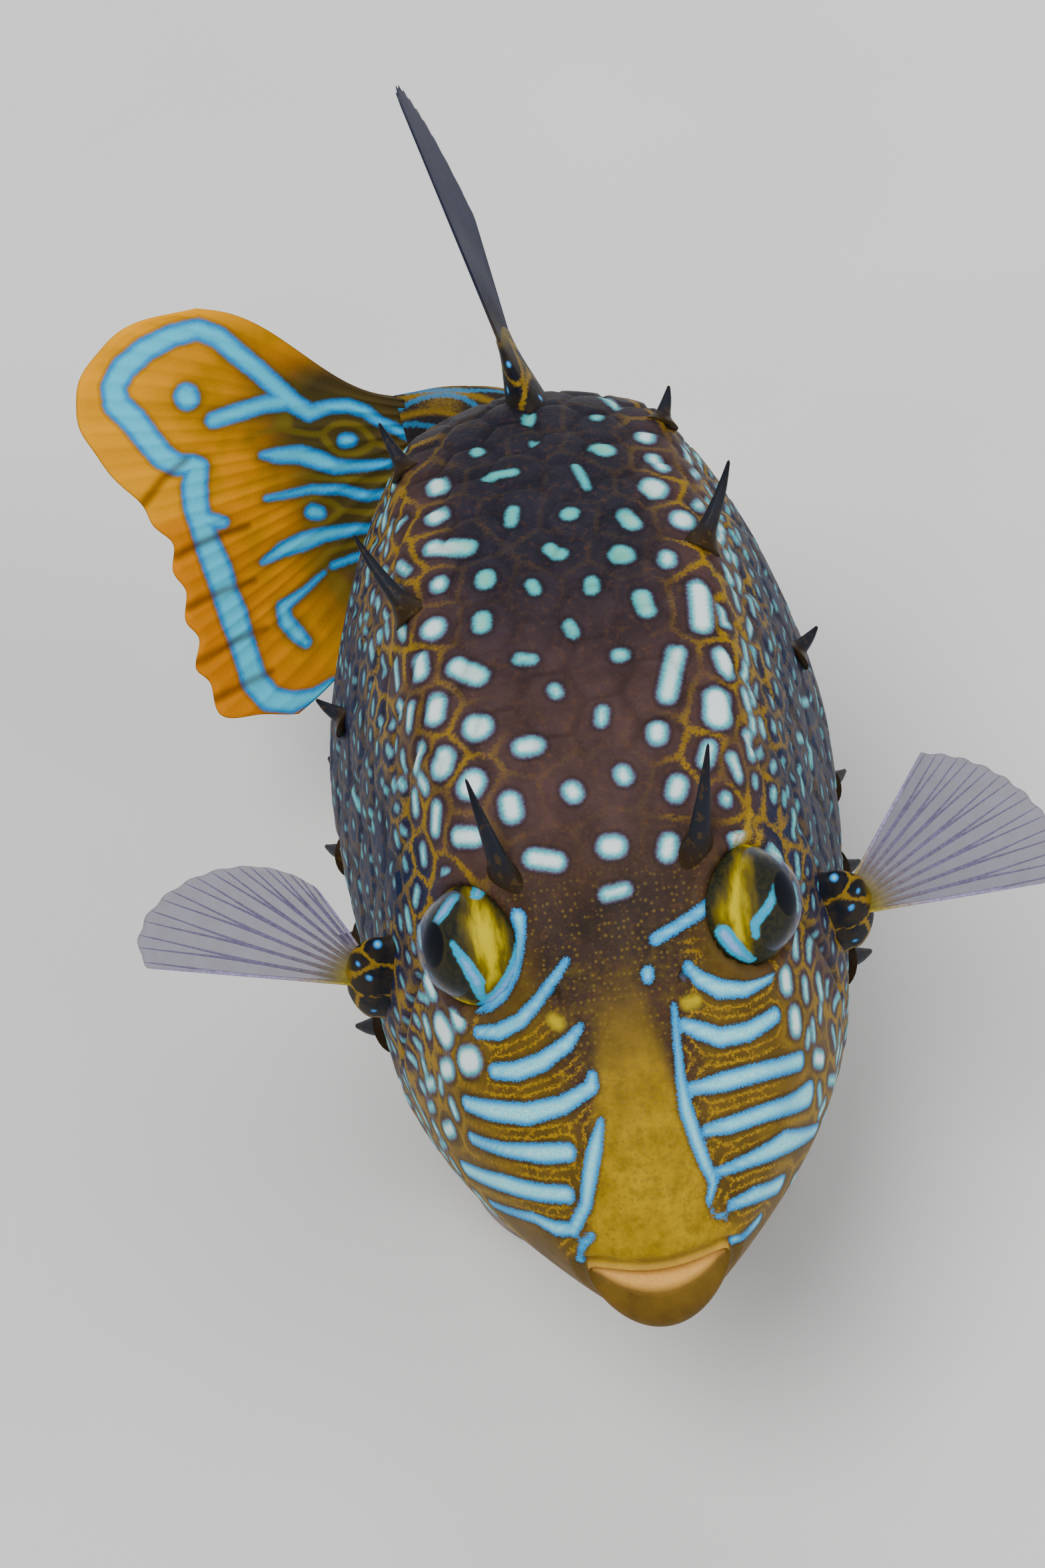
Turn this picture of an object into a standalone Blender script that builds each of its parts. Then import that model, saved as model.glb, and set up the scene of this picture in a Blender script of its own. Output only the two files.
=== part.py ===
"""Ornate cowfish, a life-size museum model on a plain stand, with every node a closed solid.

The fish faces -Y, its left side is +X and the floor is z = 0. Sizes are in millimetres until a mesh is made.
A place on the fish is (x, s, z): x to its left, s behind its lips, z above the level of its mouth.
"""

import math

import bmesh
import bpy
import numpy as np
from mathutils import Vector

# Where the fish sits over the origin, in millimetres
FISH_X = 1.86
FISH_S = 55.29
FISH_LEVEL = 40.0
MM = 0.001
GAP = 0.3

# The shell at stations behind the lips: crest, roof edge, flank, keel and belly
STATIONS = (0, 3, 8, 14, 20, 26, 34, 44, 56, 68, 79, 88, 93.5, 98)
CREST_Z = (2.2, 5.6, 10.2, 14.6, 18.6, 22.2, 25.8, 28.6, 29.9, 29.2, 26.8, 23.2, 18.6, 10.5)
ROOF_X = (3.6, 4.4, 5.6, 7.0, 8.0, 8.8, 11.8, 13.6, 13.9, 13.4, 12.6, 11.2, 9.0, 4.8)
ROOF_Z = (0.8, 3.6, 7.8, 12.4, 17.0, 21.6, 24.4, 26.4, 26.9, 25.9, 23.4, 19.8, 15.2, 8.3)
FLANK_X = (5.2, 7.2, 10.4, 13.9, 16.2, 17.6, 19.6, 20.6, 21.6, 21.8, 20.2, 16.8, 12.4, 6.2)
FLANK_Z = (-1.4, -0.4, 1.5, 4.0, 6.4, 8.0, 9.0, 9.2, 9.0, 8.6, 8.0, 7.0, 5.5, 3.2)
KEEL_X = (2.8, 5.0, 8.6, 12.6, 16.0, 18.2, 20.0, 21.2, 22.4, 22.6, 20.6, 16.8, 11.8, 5.2)
KEEL_Z = (-4.0, -5.6, -7.2, -8.4, -9.2, -9.8, -10.4, -10.8, -11.0, -10.8, -9.6, -7.6, -5.0, -2.0)
BELLY_Z = (-6.2, -8.6, -11.6, -14.4, -16.4, -18.0, -19.4, -20.4, -20.8, -20.2, -17.8, -14.0, -9.6, -4.5)
ROOF_RIDGE = 0.7
KEEL_RIDGE = 1.1
RIDGE_WIDTH = 0.16
RIDGE_START = 18.0
RIDGE_FADE = 13.0
SHELL_END = 98.0
CORNERS = 8.0

# The seam between head and trunk leans back towards the crest
SEAM_S = 31.0
SEAM_LEAN = 0.25

# Shell plates: rows run along the fish, columns go round it
PLATE_ROWS = 24
PLATE_COLUMNS = 10
PLATE_RISE = 0.35
PLATE_INSET = 0.8
PLATE_ZIGZAG = 1 / 6
PLATE_FADE = 6.0

# Spines: station, length, root radius, and lean back in degrees
ROOF_SPINES = {1: ((63.5, 7.8, 1.0, 46), (84, 3.6, 0.9, 50)), -1: ((60, 8.4, 1.0, 46), (82, 5.2, 0.9, 50))}
FLANK_SPINES = ((64, 3.4, 1.0, 40),)
KEEL_SPINES = ((42, 4.6, 1.5, 30), (53, 4.2, 1.3, 35), (64, 4.4, 1.3, 40), (74, 4.6, 1.3, 45), (83, 3.6, 1.1, 50))
SPINE_SIDES = 6
SPINE_SUNK = 1.6
SPINE_BOW = 0.05
SPINE_TAPER = ((0.25, 0.8), (0.65, 0.45), (1.0, 0.14))

# Head; a lip ring has its half width, its rise above and below the mouth, and its stations there
HEAD_RINGS = 20
HEAD_ROUND = 40
HEAD_FRONT = 1.0
LIP_WIDTH = 6.2
LIP_BOW = 2.6
LIP_SMILE = 0.1
MOUTH_Z = 0.2
LIP_RINGS = (
    (5.6, 0.16, 0.16, 2.9, 2.9),
    (6.0, 0.5, 1.6, 1.4, -0.5),
    (6.4, 1.0, 4.0, 1.0, -1.6),
    (6.7, 1.6, 5.8, 1.2, -0.5),
)
EYE_PLACE = (11.1, 27.6, 17.2)
EYE_RADIUS = 5.8
EYE_AXIS = (0.86, -0.22, 0.42)
LID_RADIUS = 0.75
LID_OUT = 1.6
HORN_CORNER = 0.86
HORN_STATION = 28.6
HORN_TIP = (10.8, 34.2, 32.4)
HORN_RADIUS = 1.4
HORN_SPREAD = 0.11
HORN_SIDES = 10
HORN_TAPER = ((0.2, 0.82), (0.45, 0.6), (0.72, 0.36), (1.0, 0.1))
HORN_BOW = (0.0, -0.54, 0.27)
NOSTRIL_CORNER = 0.72
NOSTRIL_S = 20.0
NOSTRIL_RADIUS = 0.55
GILL_S = 29.8
GILL_CORNERS = (1.75, 2.6)
GILL_HALF = 0.45
GILL_DEPTH = 1.2

# Tail stalk: it bends to the fish's right and twists, so that the tail fin faces up and forwards
BEND = math.radians(103)
BEND_RADIUS = 8.0
TWIST = math.radians(30)
STALK_STRAIGHT = 3.0
STALK_LEVEL = 3.0
STALK_DEPTHS = (7.0, 4.2, 5.0)
STALK_WIDTHS = (5.6, 1.3)

# Fins
RAY_RISE = 0.14
WEB_HALF = 0.27
WEB_END = 0.98
TAIL_ROOT_HALF = 4.6
TAIL_RAYS = 11
TAIL_TIPS_W = (-1.0, -0.85, -0.7, -0.5, -0.3, -0.1, 0.1, 0.3, 0.5, 0.7, 0.85, 1.0)
TAIL_TIPS_OUT = (18.6, 25.4, 27.4, 27.2, 27.1, 27.0, 28.6, 31.2, 31.8, 28.2, 23.4, 17.2)
TAIL_TIPS_UP = (-24.2, -22.8, -18.4, -13.4, -8.0, -2.6, 2.8, 8.6, 14.3, 18.9, 20.7, 20.2)
TAIL_SWELL = (3.6, 1.3)
TAIL_BOW = -1.2
TAIL_ROOT_THICK = 0.9
MEDIAN_RAYS = 9
MEDIAN_ROOT_THICK = 1.8
DORSAL_STATIONS = (85.5, 93.0)
DORSAL_LENGTH = 36.5
DORSAL_LEAN = math.radians(15)
DORSAL_CURL = 2.5
ANAL_STATIONS = (86.0, 93.0)
ANAL_LENGTH = 22.0
ANAL_LEAN = math.radians(6)
ANAL_CURL = 1.0
PECTORAL_S = 35.6
PECTORAL_CORNER = 2.25
PECTORAL_LOBE = ((0, 1.0), (1.0, 0.98), (2.0, 0.8), (2.9, 0.55), (3.4, 0.25))
PECTORAL_LOBE_S = 1.7
PECTORAL_LOBE_CORNER = 0.26
PECTORAL_RAYS = 9
PECTORAL_SLOPE = math.radians(42)
PECTORAL_BOW = 1.0
PECTORAL_ROOT_THICK = 0.7
PECTORAL_LEFT = (20.0, math.radians(-2), math.radians(62), 0.25)
PECTORAL_RIGHT = (22.5, math.radians(10), math.radians(62), 0.6)

# Stand
BASE_CENTRE = 57.0
BASE_CORNER = 13.0
BASE_SIZE = (34.0, 52.0, 6.0)
BASE_EDGE = 1.0
ROD_RADIUS = 1.6
ROD_STATIONS = (44.0, 70.0)


def through(knots, values, at):
    """A smooth curve through the values at the knots, read at the given places."""
    knots = np.asarray(knots, float)
    values = np.asarray(values, float)
    at = np.asarray(at, float)
    slopes = np.gradient(values, knots)
    left = np.clip(np.searchsorted(knots, at, side="right") - 1, 0, len(knots) - 2)
    step = knots[left + 1] - knots[left]
    t = (at - knots[left]) / step
    start = values[left] * (1 + 2 * t) * (1 - t) ** 2 + step * slopes[left] * t * (1 - t) ** 2
    end = values[left + 1] * t * t * (3 - 2 * t) + step * slopes[left + 1] * t * t * (t - 1)
    return start + end


def mix(a, b, t):
    return a * (1 - t) + b * t


def smooth(t):
    t = np.clip(t, 0, 1)
    return t * t * (3 - 2 * t)


def shell(s, corner):
    """Places on the shell: corner 0 is the crest, 1 the left roof edge, 2 its flank, 3 its keel, 4 the belly, then
    the same on the right up to 8."""
    s, corner = np.broadcast_arrays(np.asarray(s, float), np.asarray(corner, float) % CORNERS)
    side = np.where(corner > 4, -1.0, 1.0)
    half = np.where(corner > 4, CORNERS - corner, corner)
    crest, roof_x, roof_z, flank_x, flank_z, keel_x, keel_z, belly = (
        through(STATIONS, row, s)
        for row in (CREST_Z, ROOF_X, ROOF_Z, FLANK_X, FLANK_Z, KEEL_X, KEEL_Z, BELLY_Z)
    )
    nought = np.zeros_like(crest)
    across = np.stack([-roof_x, nought, roof_x, flank_x, keel_x, nought, -keel_x])
    height = np.stack([roof_z, crest, roof_z, flank_z, keel_z, belly, keel_z])
    left = np.clip(half.astype(int), 0, 3)
    t = half - left

    def along(row):
        before, first, last, after = (
            np.take_along_axis(row, (left + k)[None], axis=0)[0] for k in range(4)
        )
        bend = 2 * before - 5 * first + 4 * last - after
        twist = 3 * first - before - 3 * last + after
        return first + 0.5 * t * (last - before + t * (bend + t * twist))

    x = along(across)
    z = along(height)
    middle = (crest + belly) / 2
    reach = np.hypot(x, z - middle) + 1e-9
    behind = smooth((s - RIDGE_START) / RIDGE_FADE) * smooth((SHELL_END - s) / RIDGE_FADE)
    rise = ROOF_RIDGE * np.exp(-(((half - 1) / RIDGE_WIDTH) ** 2))
    rise = behind * (rise + KEEL_RIDGE * np.exp(-(((half - 3) / RIDGE_WIDTH) ** 2)))
    return np.stack([side * (x + rise * x / reach), s, z + rise * (z - middle) / reach], axis=-1)


def shell_normal(s, corner):
    """The outward normal of the shell there."""
    step = 0.02
    along = shell(s + step, corner) - shell(s - step, corner)
    around = shell(s, corner + step) - shell(s, corner - step)
    normal = np.cross(around, along)
    return normal / np.linalg.norm(normal, axis=-1, keepdims=True)


def seam_station(corner):
    """How far back the seam between head and trunk lies at this corner of the section."""
    s = np.full_like(np.asarray(corner, float), SEAM_S)
    for _ in range(6):
        s = SEAM_S + SEAM_LEAN * shell(s, corner)[..., 2]
    return s


def world(place):
    x, s, z = place
    return Vector(((x + FISH_X) * MM, (s - FISH_S) * MM, (z + FISH_LEVEL) * MM))


def material(name, colour, roughness, metallic=0.0):
    made = bpy.data.materials.new(name)
    made.use_nodes = True
    shader = made.node_tree.nodes["Principled BSDF"]
    shader.inputs["Base Color"].default_value = (*colour, 1)
    shader.inputs["Roughness"].default_value = roughness
    shader.inputs["Metallic"].default_value = metallic
    made.diffuse_color = (*colour, 1)
    return made


def finish_mesh(name, shape, collection, finish):
    """Makes an object of the bmesh, facing out and with flat faces cut into triangles."""
    bmesh.ops.triangulate(shape, faces=shape.faces[:])
    bmesh.ops.recalc_face_normals(shape, faces=shape.faces[:])
    mesh = bpy.data.meshes.new(name)
    shape.to_mesh(mesh)
    shape.free()
    mesh.materials.append(finish)
    mesh.shade_smooth()
    mesh.set_sharp_from_angle(angle=math.radians(50))
    made = bpy.data.objects.new(name, mesh)
    collection.objects.link(made)
    return made


def loft(rings, name, collection, finish, slit=False):
    """A closed solid through rings of as many places each, with a fan over each end, or a slit's two lips joined."""
    shape = bmesh.new()
    rows = [[shape.verts.new(world(place)) for place in ring] for ring in rings]
    count = len(rows[0])
    for lower, upper in zip(rows, rows[1:]):
        for i in range(count):
            j = (i + 1) % count
            shape.faces.new((lower[i], lower[j], upper[j], upper[i]))
    ends = [(rows[-1], rings[-1])]
    if slit:
        half = count // 2
        for i in range(-count // 4, count // 4):
            upper = (rows[0][i], rows[0][i + 1])
            lower = (rows[0][(half - i - 1) % count], rows[0][(half - i) % count])
            corners = list(dict.fromkeys(upper + lower))
            shape.faces.new(corners)
    else:
        ends.append((rows[0], rings[0]))
    for row, ring in ends:
        hub = shape.verts.new(world(np.mean(ring, axis=0)))
        for i in range(count):
            shape.faces.new((row[i], row[(i + 1) % count], hub))
    return finish_mesh(name, shape, collection, finish)


def keep_largest(mesh):
    """Leaves only the largest closed surface of the mesh."""
    shape = bmesh.new()
    shape.from_mesh(mesh)
    unseen = set(shape.verts)
    surfaces = []
    while unseen:
        found = {unseen.pop()}
        edge = list(found)
        while edge:
            vert = edge.pop()
            near = {link.other_vert(vert) for link in vert.link_edges} & unseen
            unseen -= near
            found |= near
            edge.extend(near)
        surfaces.append(found)

    def spread(found):
        places = np.array([vert.co for vert in found])
        return float(np.linalg.norm(places.max(axis=0) - places.min(axis=0)))

    largest = max(surfaces, key=spread)
    scrap = [vert for vert in shape.verts if vert not in largest]
    bmesh.ops.delete(shape, geom=scrap, context="VERTS")
    shape.to_mesh(mesh)
    shape.free()


def combine(body, pieces, operation, solver="EXACT"):
    """Joins the pieces to the body, or cuts them from it, in one Boolean, and removes them."""
    group = bpy.data.collections.new(body.name + "_" + operation.lower())
    bpy.context.scene.collection.children.link(group)
    for piece in pieces:
        for holder in list(piece.users_collection):
            holder.objects.unlink(piece)
        group.objects.link(piece)
        piece.hide_render = True
        piece.display_type = "WIRE"
    modifier = body.modifiers.new(operation.title(), "BOOLEAN")
    modifier.operation = operation
    modifier.operand_type = "COLLECTION"
    modifier.collection = group
    modifier.solver = solver
    graph = bpy.context.evaluated_depsgraph_get()
    mesh = bpy.data.meshes.new_from_object(body.evaluated_get(graph))
    body.modifiers.clear()
    body.data = mesh
    for piece in pieces:
        bpy.data.objects.remove(piece)
    bpy.data.collections.remove(group)
    keep_largest(mesh)
    mesh.shade_smooth()
    mesh.set_sharp_from_angle(angle=math.radians(50))


def spine(root, tip, radius, collection, finish):
    """A tapered, slightly curved spine with its root sunk below the surface that it grows from."""
    root = np.asarray(root, float)
    tip = np.asarray(tip, float)
    axis = (tip - root) / np.linalg.norm(tip - root)
    beside = np.cross(axis, (0, 1, 0))
    beside /= np.linalg.norm(beside)
    above = np.cross(axis, beside)
    length = np.linalg.norm(tip - root)
    rings = []
    turns = np.arange(SPINE_SIDES) * 2 * math.pi / SPINE_SIDES
    for share, width in ((-SPINE_SUNK / length, 1.15), *SPINE_TAPER):
        middle = root + axis * length * share + above * SPINE_BOW * length * math.sin(math.pi * max(share, 0))
        ring = [middle + radius * width * (math.cos(a) * beside + math.sin(a) * above) for a in turns]
        rings.append(ring)
    return loft(rings, "spine", collection, finish)


def shell_spine(s, corner, length, radius, lean, side, collection, finish):
    """A spine on a corner of the shell, leaning back by the given angle from the surface's normal."""
    at = corner if side > 0 else CORNERS - corner
    root = shell(s, at)
    out = shell_normal(s, at)
    back = np.array((0.0, 1.0, 0.0))
    angle = math.radians(lean)
    tip = root + length * (math.cos(angle) * out + math.sin(angle) * back)
    return spine(root, tip, radius, collection, finish)


def make_trunk(collection, finish):
    """The shell behind the seam, with its plates raised and its spines."""
    lines = 2 * PLATE_COLUMNS
    pitch = CORNERS / PLATE_ROWS
    share = np.linspace(0, 1, lines + 1) ** 0.95
    places = np.zeros((PLATE_ROWS, lines + 1, 2))
    for row in range(PLATE_ROWS):
        for line in range(lines + 1):
            zigzag = PLATE_ZIGZAG if (row + line) % 2 == 0 else -PLATE_ZIGZAG
            corner = (row + zigzag) * pitch
            start = seam_station(np.array(corner)) + GAP / 2
            places[row, line] = (mix(start, SHELL_END, share[line]), corner)

    shape = bmesh.new()
    edge = shell(places[..., 0], places[..., 1])
    verts = [[shape.verts.new(world(edge[row, line])) for line in range(lines + 1)] for row in range(PLATE_ROWS)]
    for row in range(PLATE_ROWS):
        above = (row + 1) % PLATE_ROWS
        starts = range(-1, lines, 2) if row % 2 else range(0, lines, 2)
        for start in starts:
            low = [(row, line) for line in range(max(start, 0), min(start + 2, lines) + 1)]
            high = [(above, line) for _, line in reversed(low)]
            add_plate(shape, verts, places, low + high)
    for line in (0, lines):
        ring = [verts[row][line] for row in range(PLATE_ROWS)]
        hub = shape.verts.new(sum((vert.co for vert in ring), Vector()) / len(ring))
        for row in range(PLATE_ROWS):
            shape.faces.new((ring[row], ring[(row + 1) % PLATE_ROWS], hub))
    body = finish_mesh("trunk", shape, collection, finish)

    spines = []
    for side in (1, -1):
        for corner, rows in ((1, ROOF_SPINES[side]), (2, FLANK_SPINES), (3, KEEL_SPINES)):
            for s, length, radius, lean in rows:
                spines.append(shell_spine(s, corner, length, radius, lean, side, collection, finish))
    combine(body, spines, "UNION")
    return body


def add_plate(shape, verts, places, outline):
    """One raised plate inside its outline on the shell."""
    rim = [verts[row][line] for row, line in outline]
    spots = np.array([places[row, line] for row, line in outline])
    corners = spots[:, 1]
    corners = np.where(corners - corners[0] > CORNERS / 2, corners - CORNERS, corners)
    corners = np.where(corners - corners[0] < -CORNERS / 2, corners + CORNERS, corners)
    middle = np.array((spots[:, 0].mean(), corners.mean()))
    rise = PLATE_RISE * float(smooth((SHELL_END - middle[0]) / PLATE_FADE))
    inner = []
    for s, corner in zip(spots[:, 0], corners):
        s = mix(middle[0], s, PLATE_INSET)
        corner = mix(middle[1], corner, PLATE_INSET)
        inner.append(shape.verts.new(world(shell(s, corner) + rise * shell_normal(s, corner))))
    top = shape.verts.new(world(shell(*middle) + rise * shell_normal(*middle)))
    count = len(rim)
    for i in range(count):
        j = (i + 1) % count
        shape.faces.new((rim[i], rim[j], inner[j], inner[i]))
        shape.faces.new((inner[i], inner[j], top))


def mouth_rings():
    """Rings from the line of the mouth out over the lips to the front of the snout."""
    turns = np.arange(HEAD_ROUND) * 2 * math.pi / HEAD_ROUND
    across = np.sin(turns)
    up = np.cos(turns)
    rings = []
    for half_width, upper, lower, s_up, s_low in LIP_RINGS:
        rise = np.where(up > 0, upper, lower)
        x = half_width * across
        bow = (x / LIP_WIDTH) ** 2
        s = mix((s_up + s_low) / 2, np.where(up > 0, s_up, s_low), np.abs(up))
        rings.append(np.stack([x, s + LIP_BOW * bow, rise * up + LIP_SMILE * bow + MOUTH_Z], axis=-1))
    return rings


def make_head(collection, finish):
    """The shell in front of the seam, with lips, the line of the mouth, lids, nostrils and gill slits."""
    corner = np.arange(HEAD_ROUND) * CORNERS / HEAD_ROUND
    seam = seam_station(corner) - GAP / 2
    rings = mouth_rings()
    front = HEAD_FRONT + LIP_BOW * (shell(2.0, corner)[:, 0] / LIP_WIDTH) ** 2
    for i in range(HEAD_RINGS):
        share = (i / (HEAD_RINGS - 1)) ** 1.15
        rings.append(shell(mix(front, seam, share), corner))
    body = loft(rings, "head", collection, finish, slit=True)

    joined = []
    cut = []
    for side in (1, -1):
        joined.append(make_lid(side, finish))
        bpy.ops.mesh.primitive_uv_sphere_add(
            segments=20, ring_count=12, radius=(EYE_RADIUS + GAP) * MM, location=eye_place(side)
        )
        cut.append(bpy.context.object)
    combine(body, joined, "UNION")
    for side in (1, -1):
        cut.append(nostril_pit(side))
        cut.append(gill_cutter(side, collection, finish))
    combine(body, cut, "DIFFERENCE")
    return body


def eye_place(side):
    return world((side * EYE_PLACE[0], EYE_PLACE[1], EYE_PLACE[2]))


def eye_axis(side):
    """The direction that an eye looks in."""
    return Vector((side * EYE_AXIS[0], EYE_AXIS[1], EYE_AXIS[2])).normalized()


def make_lid(side, finish):
    """The raised rim round an eye."""
    axis = eye_axis(side)
    bpy.ops.mesh.primitive_torus_add(
        major_segments=20,
        minor_segments=6,
        major_radius=(EYE_RADIUS - 0.2) * MM,
        minor_radius=LID_RADIUS * MM,
        location=eye_place(side) + axis * LID_OUT * MM,
        rotation=axis.to_track_quat("Z", "Y").to_euler(),
    )
    lid = bpy.context.object
    lid.data.materials.append(finish)
    return lid


def nostril_pit(side):
    """A small round pit on the snout."""
    corner = NOSTRIL_CORNER if side > 0 else CORNERS - NOSTRIL_CORNER
    normal = shell_normal(NOSTRIL_S, corner)
    bpy.ops.mesh.primitive_cylinder_add(
        vertices=10,
        radius=NOSTRIL_RADIUS * MM,
        depth=4 * NOSTRIL_RADIUS * MM,
        location=world(shell(NOSTRIL_S, corner) - 0.3 * normal),
        rotation=Vector(normal).to_track_quat("Z", "Y").to_euler(),
    )
    return bpy.context.object


def gill_cutter(side, collection, finish):
    """A thin bent blade that cuts the gill slit."""
    rings = []
    back = np.array((0.0, 1.0, 0.0))
    for share in np.linspace(0, 1, 7):
        corner = mix(GILL_CORNERS[0], GILL_CORNERS[1], share)
        at = corner if side > 0 else CORNERS - corner
        place = shell(GILL_S, at)
        out = shell_normal(GILL_S, at)
        half = GILL_HALF * math.sin(math.pi * mix(0.11, 0.89, share))
        inner = place - GILL_DEPTH * out
        outer = place + out
        rings.append([inner - half * back, outer - half * back, outer + half * back, inner + half * back])
    return loft(rings, "gill", collection, finish)


def make_eye(name, side, collection, finish):
    shape = bmesh.new()
    bmesh.ops.create_uvsphere(shape, u_segments=16, v_segments=10, radius=EYE_RADIUS * MM)
    turn = eye_axis(side).to_track_quat("Z", "Y").to_matrix()
    bmesh.ops.rotate(shape, verts=shape.verts, cent=(0, 0, 0), matrix=turn)
    bmesh.ops.translate(shape, verts=shape.verts, vec=eye_place(side))
    return finish_mesh(name, shape, collection, finish)


def make_horn(name, side, collection, finish):
    """A brow horn, rooted just clear of the head."""
    tip = np.array((side * HORN_TIP[0], HORN_TIP[1], HORN_TIP[2]))
    at = HORN_CORNER if side > 0 else CORNERS - HORN_CORNER
    turns = np.arange(HORN_SIDES) * 2 * math.pi / HORN_SIDES
    foot = []
    for a in turns:
        s = HORN_STATION + HORN_RADIUS * 1.1 * math.cos(a)
        corner = at + HORN_SPREAD * math.sin(a)
        foot.append(shell(s, corner) + 1.6 * GAP * shell_normal(s, corner))
    start = np.mean(foot, axis=0)
    forward = foot[0] - start
    across = (foot[HORN_SIDES // 4] + foot[HORN_SIDES // 4 + 1]) / 2 - start
    rings = [foot]
    for share, width in HORN_TAPER:
        middle = mix(start, tip, share) + np.array(HORN_BOW) * math.sin(math.pi * share)
        rings.append([middle + width * (math.cos(a) * forward + math.sin(a) * across) for a in turns])
    return loft(rings, name, collection, finish)


def stalk_path(t):
    """The middle line of the tail stalk at t millimetres from the shell: place, and the angle that it has turned."""
    arc = BEND * BEND_RADIUS
    angle = min(max(t, 0) / BEND_RADIUS, BEND)
    x = -BEND_RADIUS * (1 - math.cos(angle))
    s = SHELL_END + BEND_RADIUS * math.sin(angle)
    past = max(t - arc, 0) + min(t, 0)
    x -= past * math.sin(angle)
    s += past * math.cos(angle)
    return np.array((x, s, STALK_LEVEL)), angle


def tail_frame():
    """Root place of the tail fin, its length direction, its depth direction and its normal."""
    root, angle = stalk_path(BEND * BEND_RADIUS + STALK_STRAIGHT + GAP)
    along = np.array((-math.sin(angle), math.cos(angle), 0.0))
    back = np.array((math.cos(angle), math.sin(angle), 0.0))
    deep = math.cos(TWIST) * np.array((0.0, 0.0, 1.0)) + math.sin(TWIST) * back
    normal = np.cross(along, deep)
    return root, along, deep, normal


def make_stalk(collection, finish):
    """The tail stalk, from the shell's end round its bend to the tail fin."""
    total = BEND * BEND_RADIUS + STALK_STRAIGHT
    turns = np.arange(16) * 2 * math.pi / 16
    first, waist, last = STALK_DEPTHS
    rings = []
    for share in np.linspace(0, 1, 11):
        middle, angle = stalk_path(mix(GAP, total, share))
        along = np.array((-math.sin(angle), math.cos(angle), 0.0))
        back = np.array((math.cos(angle), math.sin(angle), 0.0))
        turn = TWIST * float(smooth(share))
        deep = math.cos(turn) * np.array((0.0, 0.0, 1.0)) + math.sin(turn) * back
        wide = np.cross(along, deep)
        half_depth = mix(first, waist, math.sin(math.pi * min(share * 1.1, 1) / 2))
        half_depth += (last - waist) * max(share - 0.6, 0) / 0.4
        half_width = mix(*STALK_WIDTHS, float(smooth(share)) ** 0.8)
        rings.append([middle + half_depth * math.cos(a) * deep + half_width * math.sin(a) * wide for a in turns])
    return loft(rings, "tail_stalk", collection, finish)


def fan_fin(name, root, tip, normal, rays, steps, thick, collection, finish, bow=0.0, swell=None):
    """A fin with its rays raised in its own two faces, from root(w) to tip(w), w from -1 to 1 across the fin."""
    shape = bmesh.new()
    columns = 2 * rays - 1
    faces = {}
    for face in (1, -1):
        for column in range(columns):
            across = 2 * column / (columns - 1) - 1
            start = np.asarray(root(across))
            end = np.asarray(tip(across))
            if column % 2:
                end = mix(start, end, WEB_END)
            for row in range(steps + 1):
                t = row / steps
                place = mix(start, end, t) + normal * bow * math.sin(math.pi * t * 0.5) ** 2
                if swell:
                    place = place + swell(across, t)
                half = WEB_HALF + (thick - WEB_HALF) * float(smooth(1 - t / 0.35))
                if column % 2 == 0:
                    half += RAY_RISE * (1 - 0.8 * t)
                if row == steps:
                    half *= 0.7
                faces[face, column, row] = shape.verts.new(world(place + face * half * normal))
    for face in (1, -1):
        for column in range(columns - 1):
            for row in range(steps):
                a = faces[face, column, row]
                b = faces[face, column + 1, row]
                c = faces[face, column + 1, row + 1]
                d = faces[face, column, row + 1]
                shape.faces.new((a, b, c))
                shape.faces.new((a, c, d))
    rim = [(column, 0) for column in range(columns)]
    rim += [(columns - 1, row) for row in range(1, steps + 1)]
    rim += [(column, steps) for column in range(columns - 2, -1, -1)]
    rim += [(0, row) for row in range(steps - 1, 0, -1)]
    for (c1, r1), (c2, r2) in zip(rim, rim[1:] + rim[:1]):
        shape.faces.new((faces[1, c1, r1], faces[1, c2, r2], faces[-1, c2, r2], faces[-1, c1, r1]))
    return finish_mesh(name, shape, collection, finish)


def make_tail_fin(collection, finish):
    """The tail fin: rays fan from the stalk's end to a rounded outline with swollen upper and lower edges."""
    origin, along, deep, normal = tail_frame()

    def root(w):
        return origin + deep * TAIL_ROOT_HALF * w

    def tip(w):
        out = float(through(TAIL_TIPS_W, TAIL_TIPS_OUT, w))
        up = float(through(TAIL_TIPS_W, TAIL_TIPS_UP, w))
        return origin + along * out + deep * up

    def swell(w, t):
        out = TAIL_SWELL[0] * math.sin(math.pi * t) if w < 0 else TAIL_SWELL[1] * math.sin(2 * math.pi * t)
        return -out * abs(w) ** 3 * deep

    thick = TAIL_ROOT_THICK
    return fan_fin("caudal_fin", root, tip, normal, TAIL_RAYS, 9, thick, collection, finish, TAIL_BOW, swell)


def make_median_fin(name, row, up, stations, length, lean, curl, collection, finish):
    """The dorsal or anal fin: a narrow paddle that stands on the back or the belly close to the shell's end."""
    sideways = np.array((-math.sin(lean), 0.0, 0.0))

    def root(w):
        s = mix(*stations, (w + 1) / 2)
        return np.array((0.0, s, float(through(STATIONS, row, s)) + up * (GAP + PLATE_RISE)))

    def tip(w):
        angle = math.radians(mix(44, 30, (w + 1) / 2))
        reach = length * (1 - 0.16 * (w + 1) - 0.14 * max(w, 0) ** 2) * (1 - 0.1 * max(-w, 0) ** 3)
        heading = np.array((0.0, math.cos(angle), up * math.sin(angle))) + sideways
        aside = np.array((curl * (w + 1) / 2, 0.0, 0.0))
        return root(w) + reach * heading / np.linalg.norm(heading) + aside

    normal = np.array((1.0, 0.0, 0.0))
    return fan_fin(name, root, tip, normal, MEDIAN_RAYS, 7, MEDIAN_ROOT_THICK, collection, finish)


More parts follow.
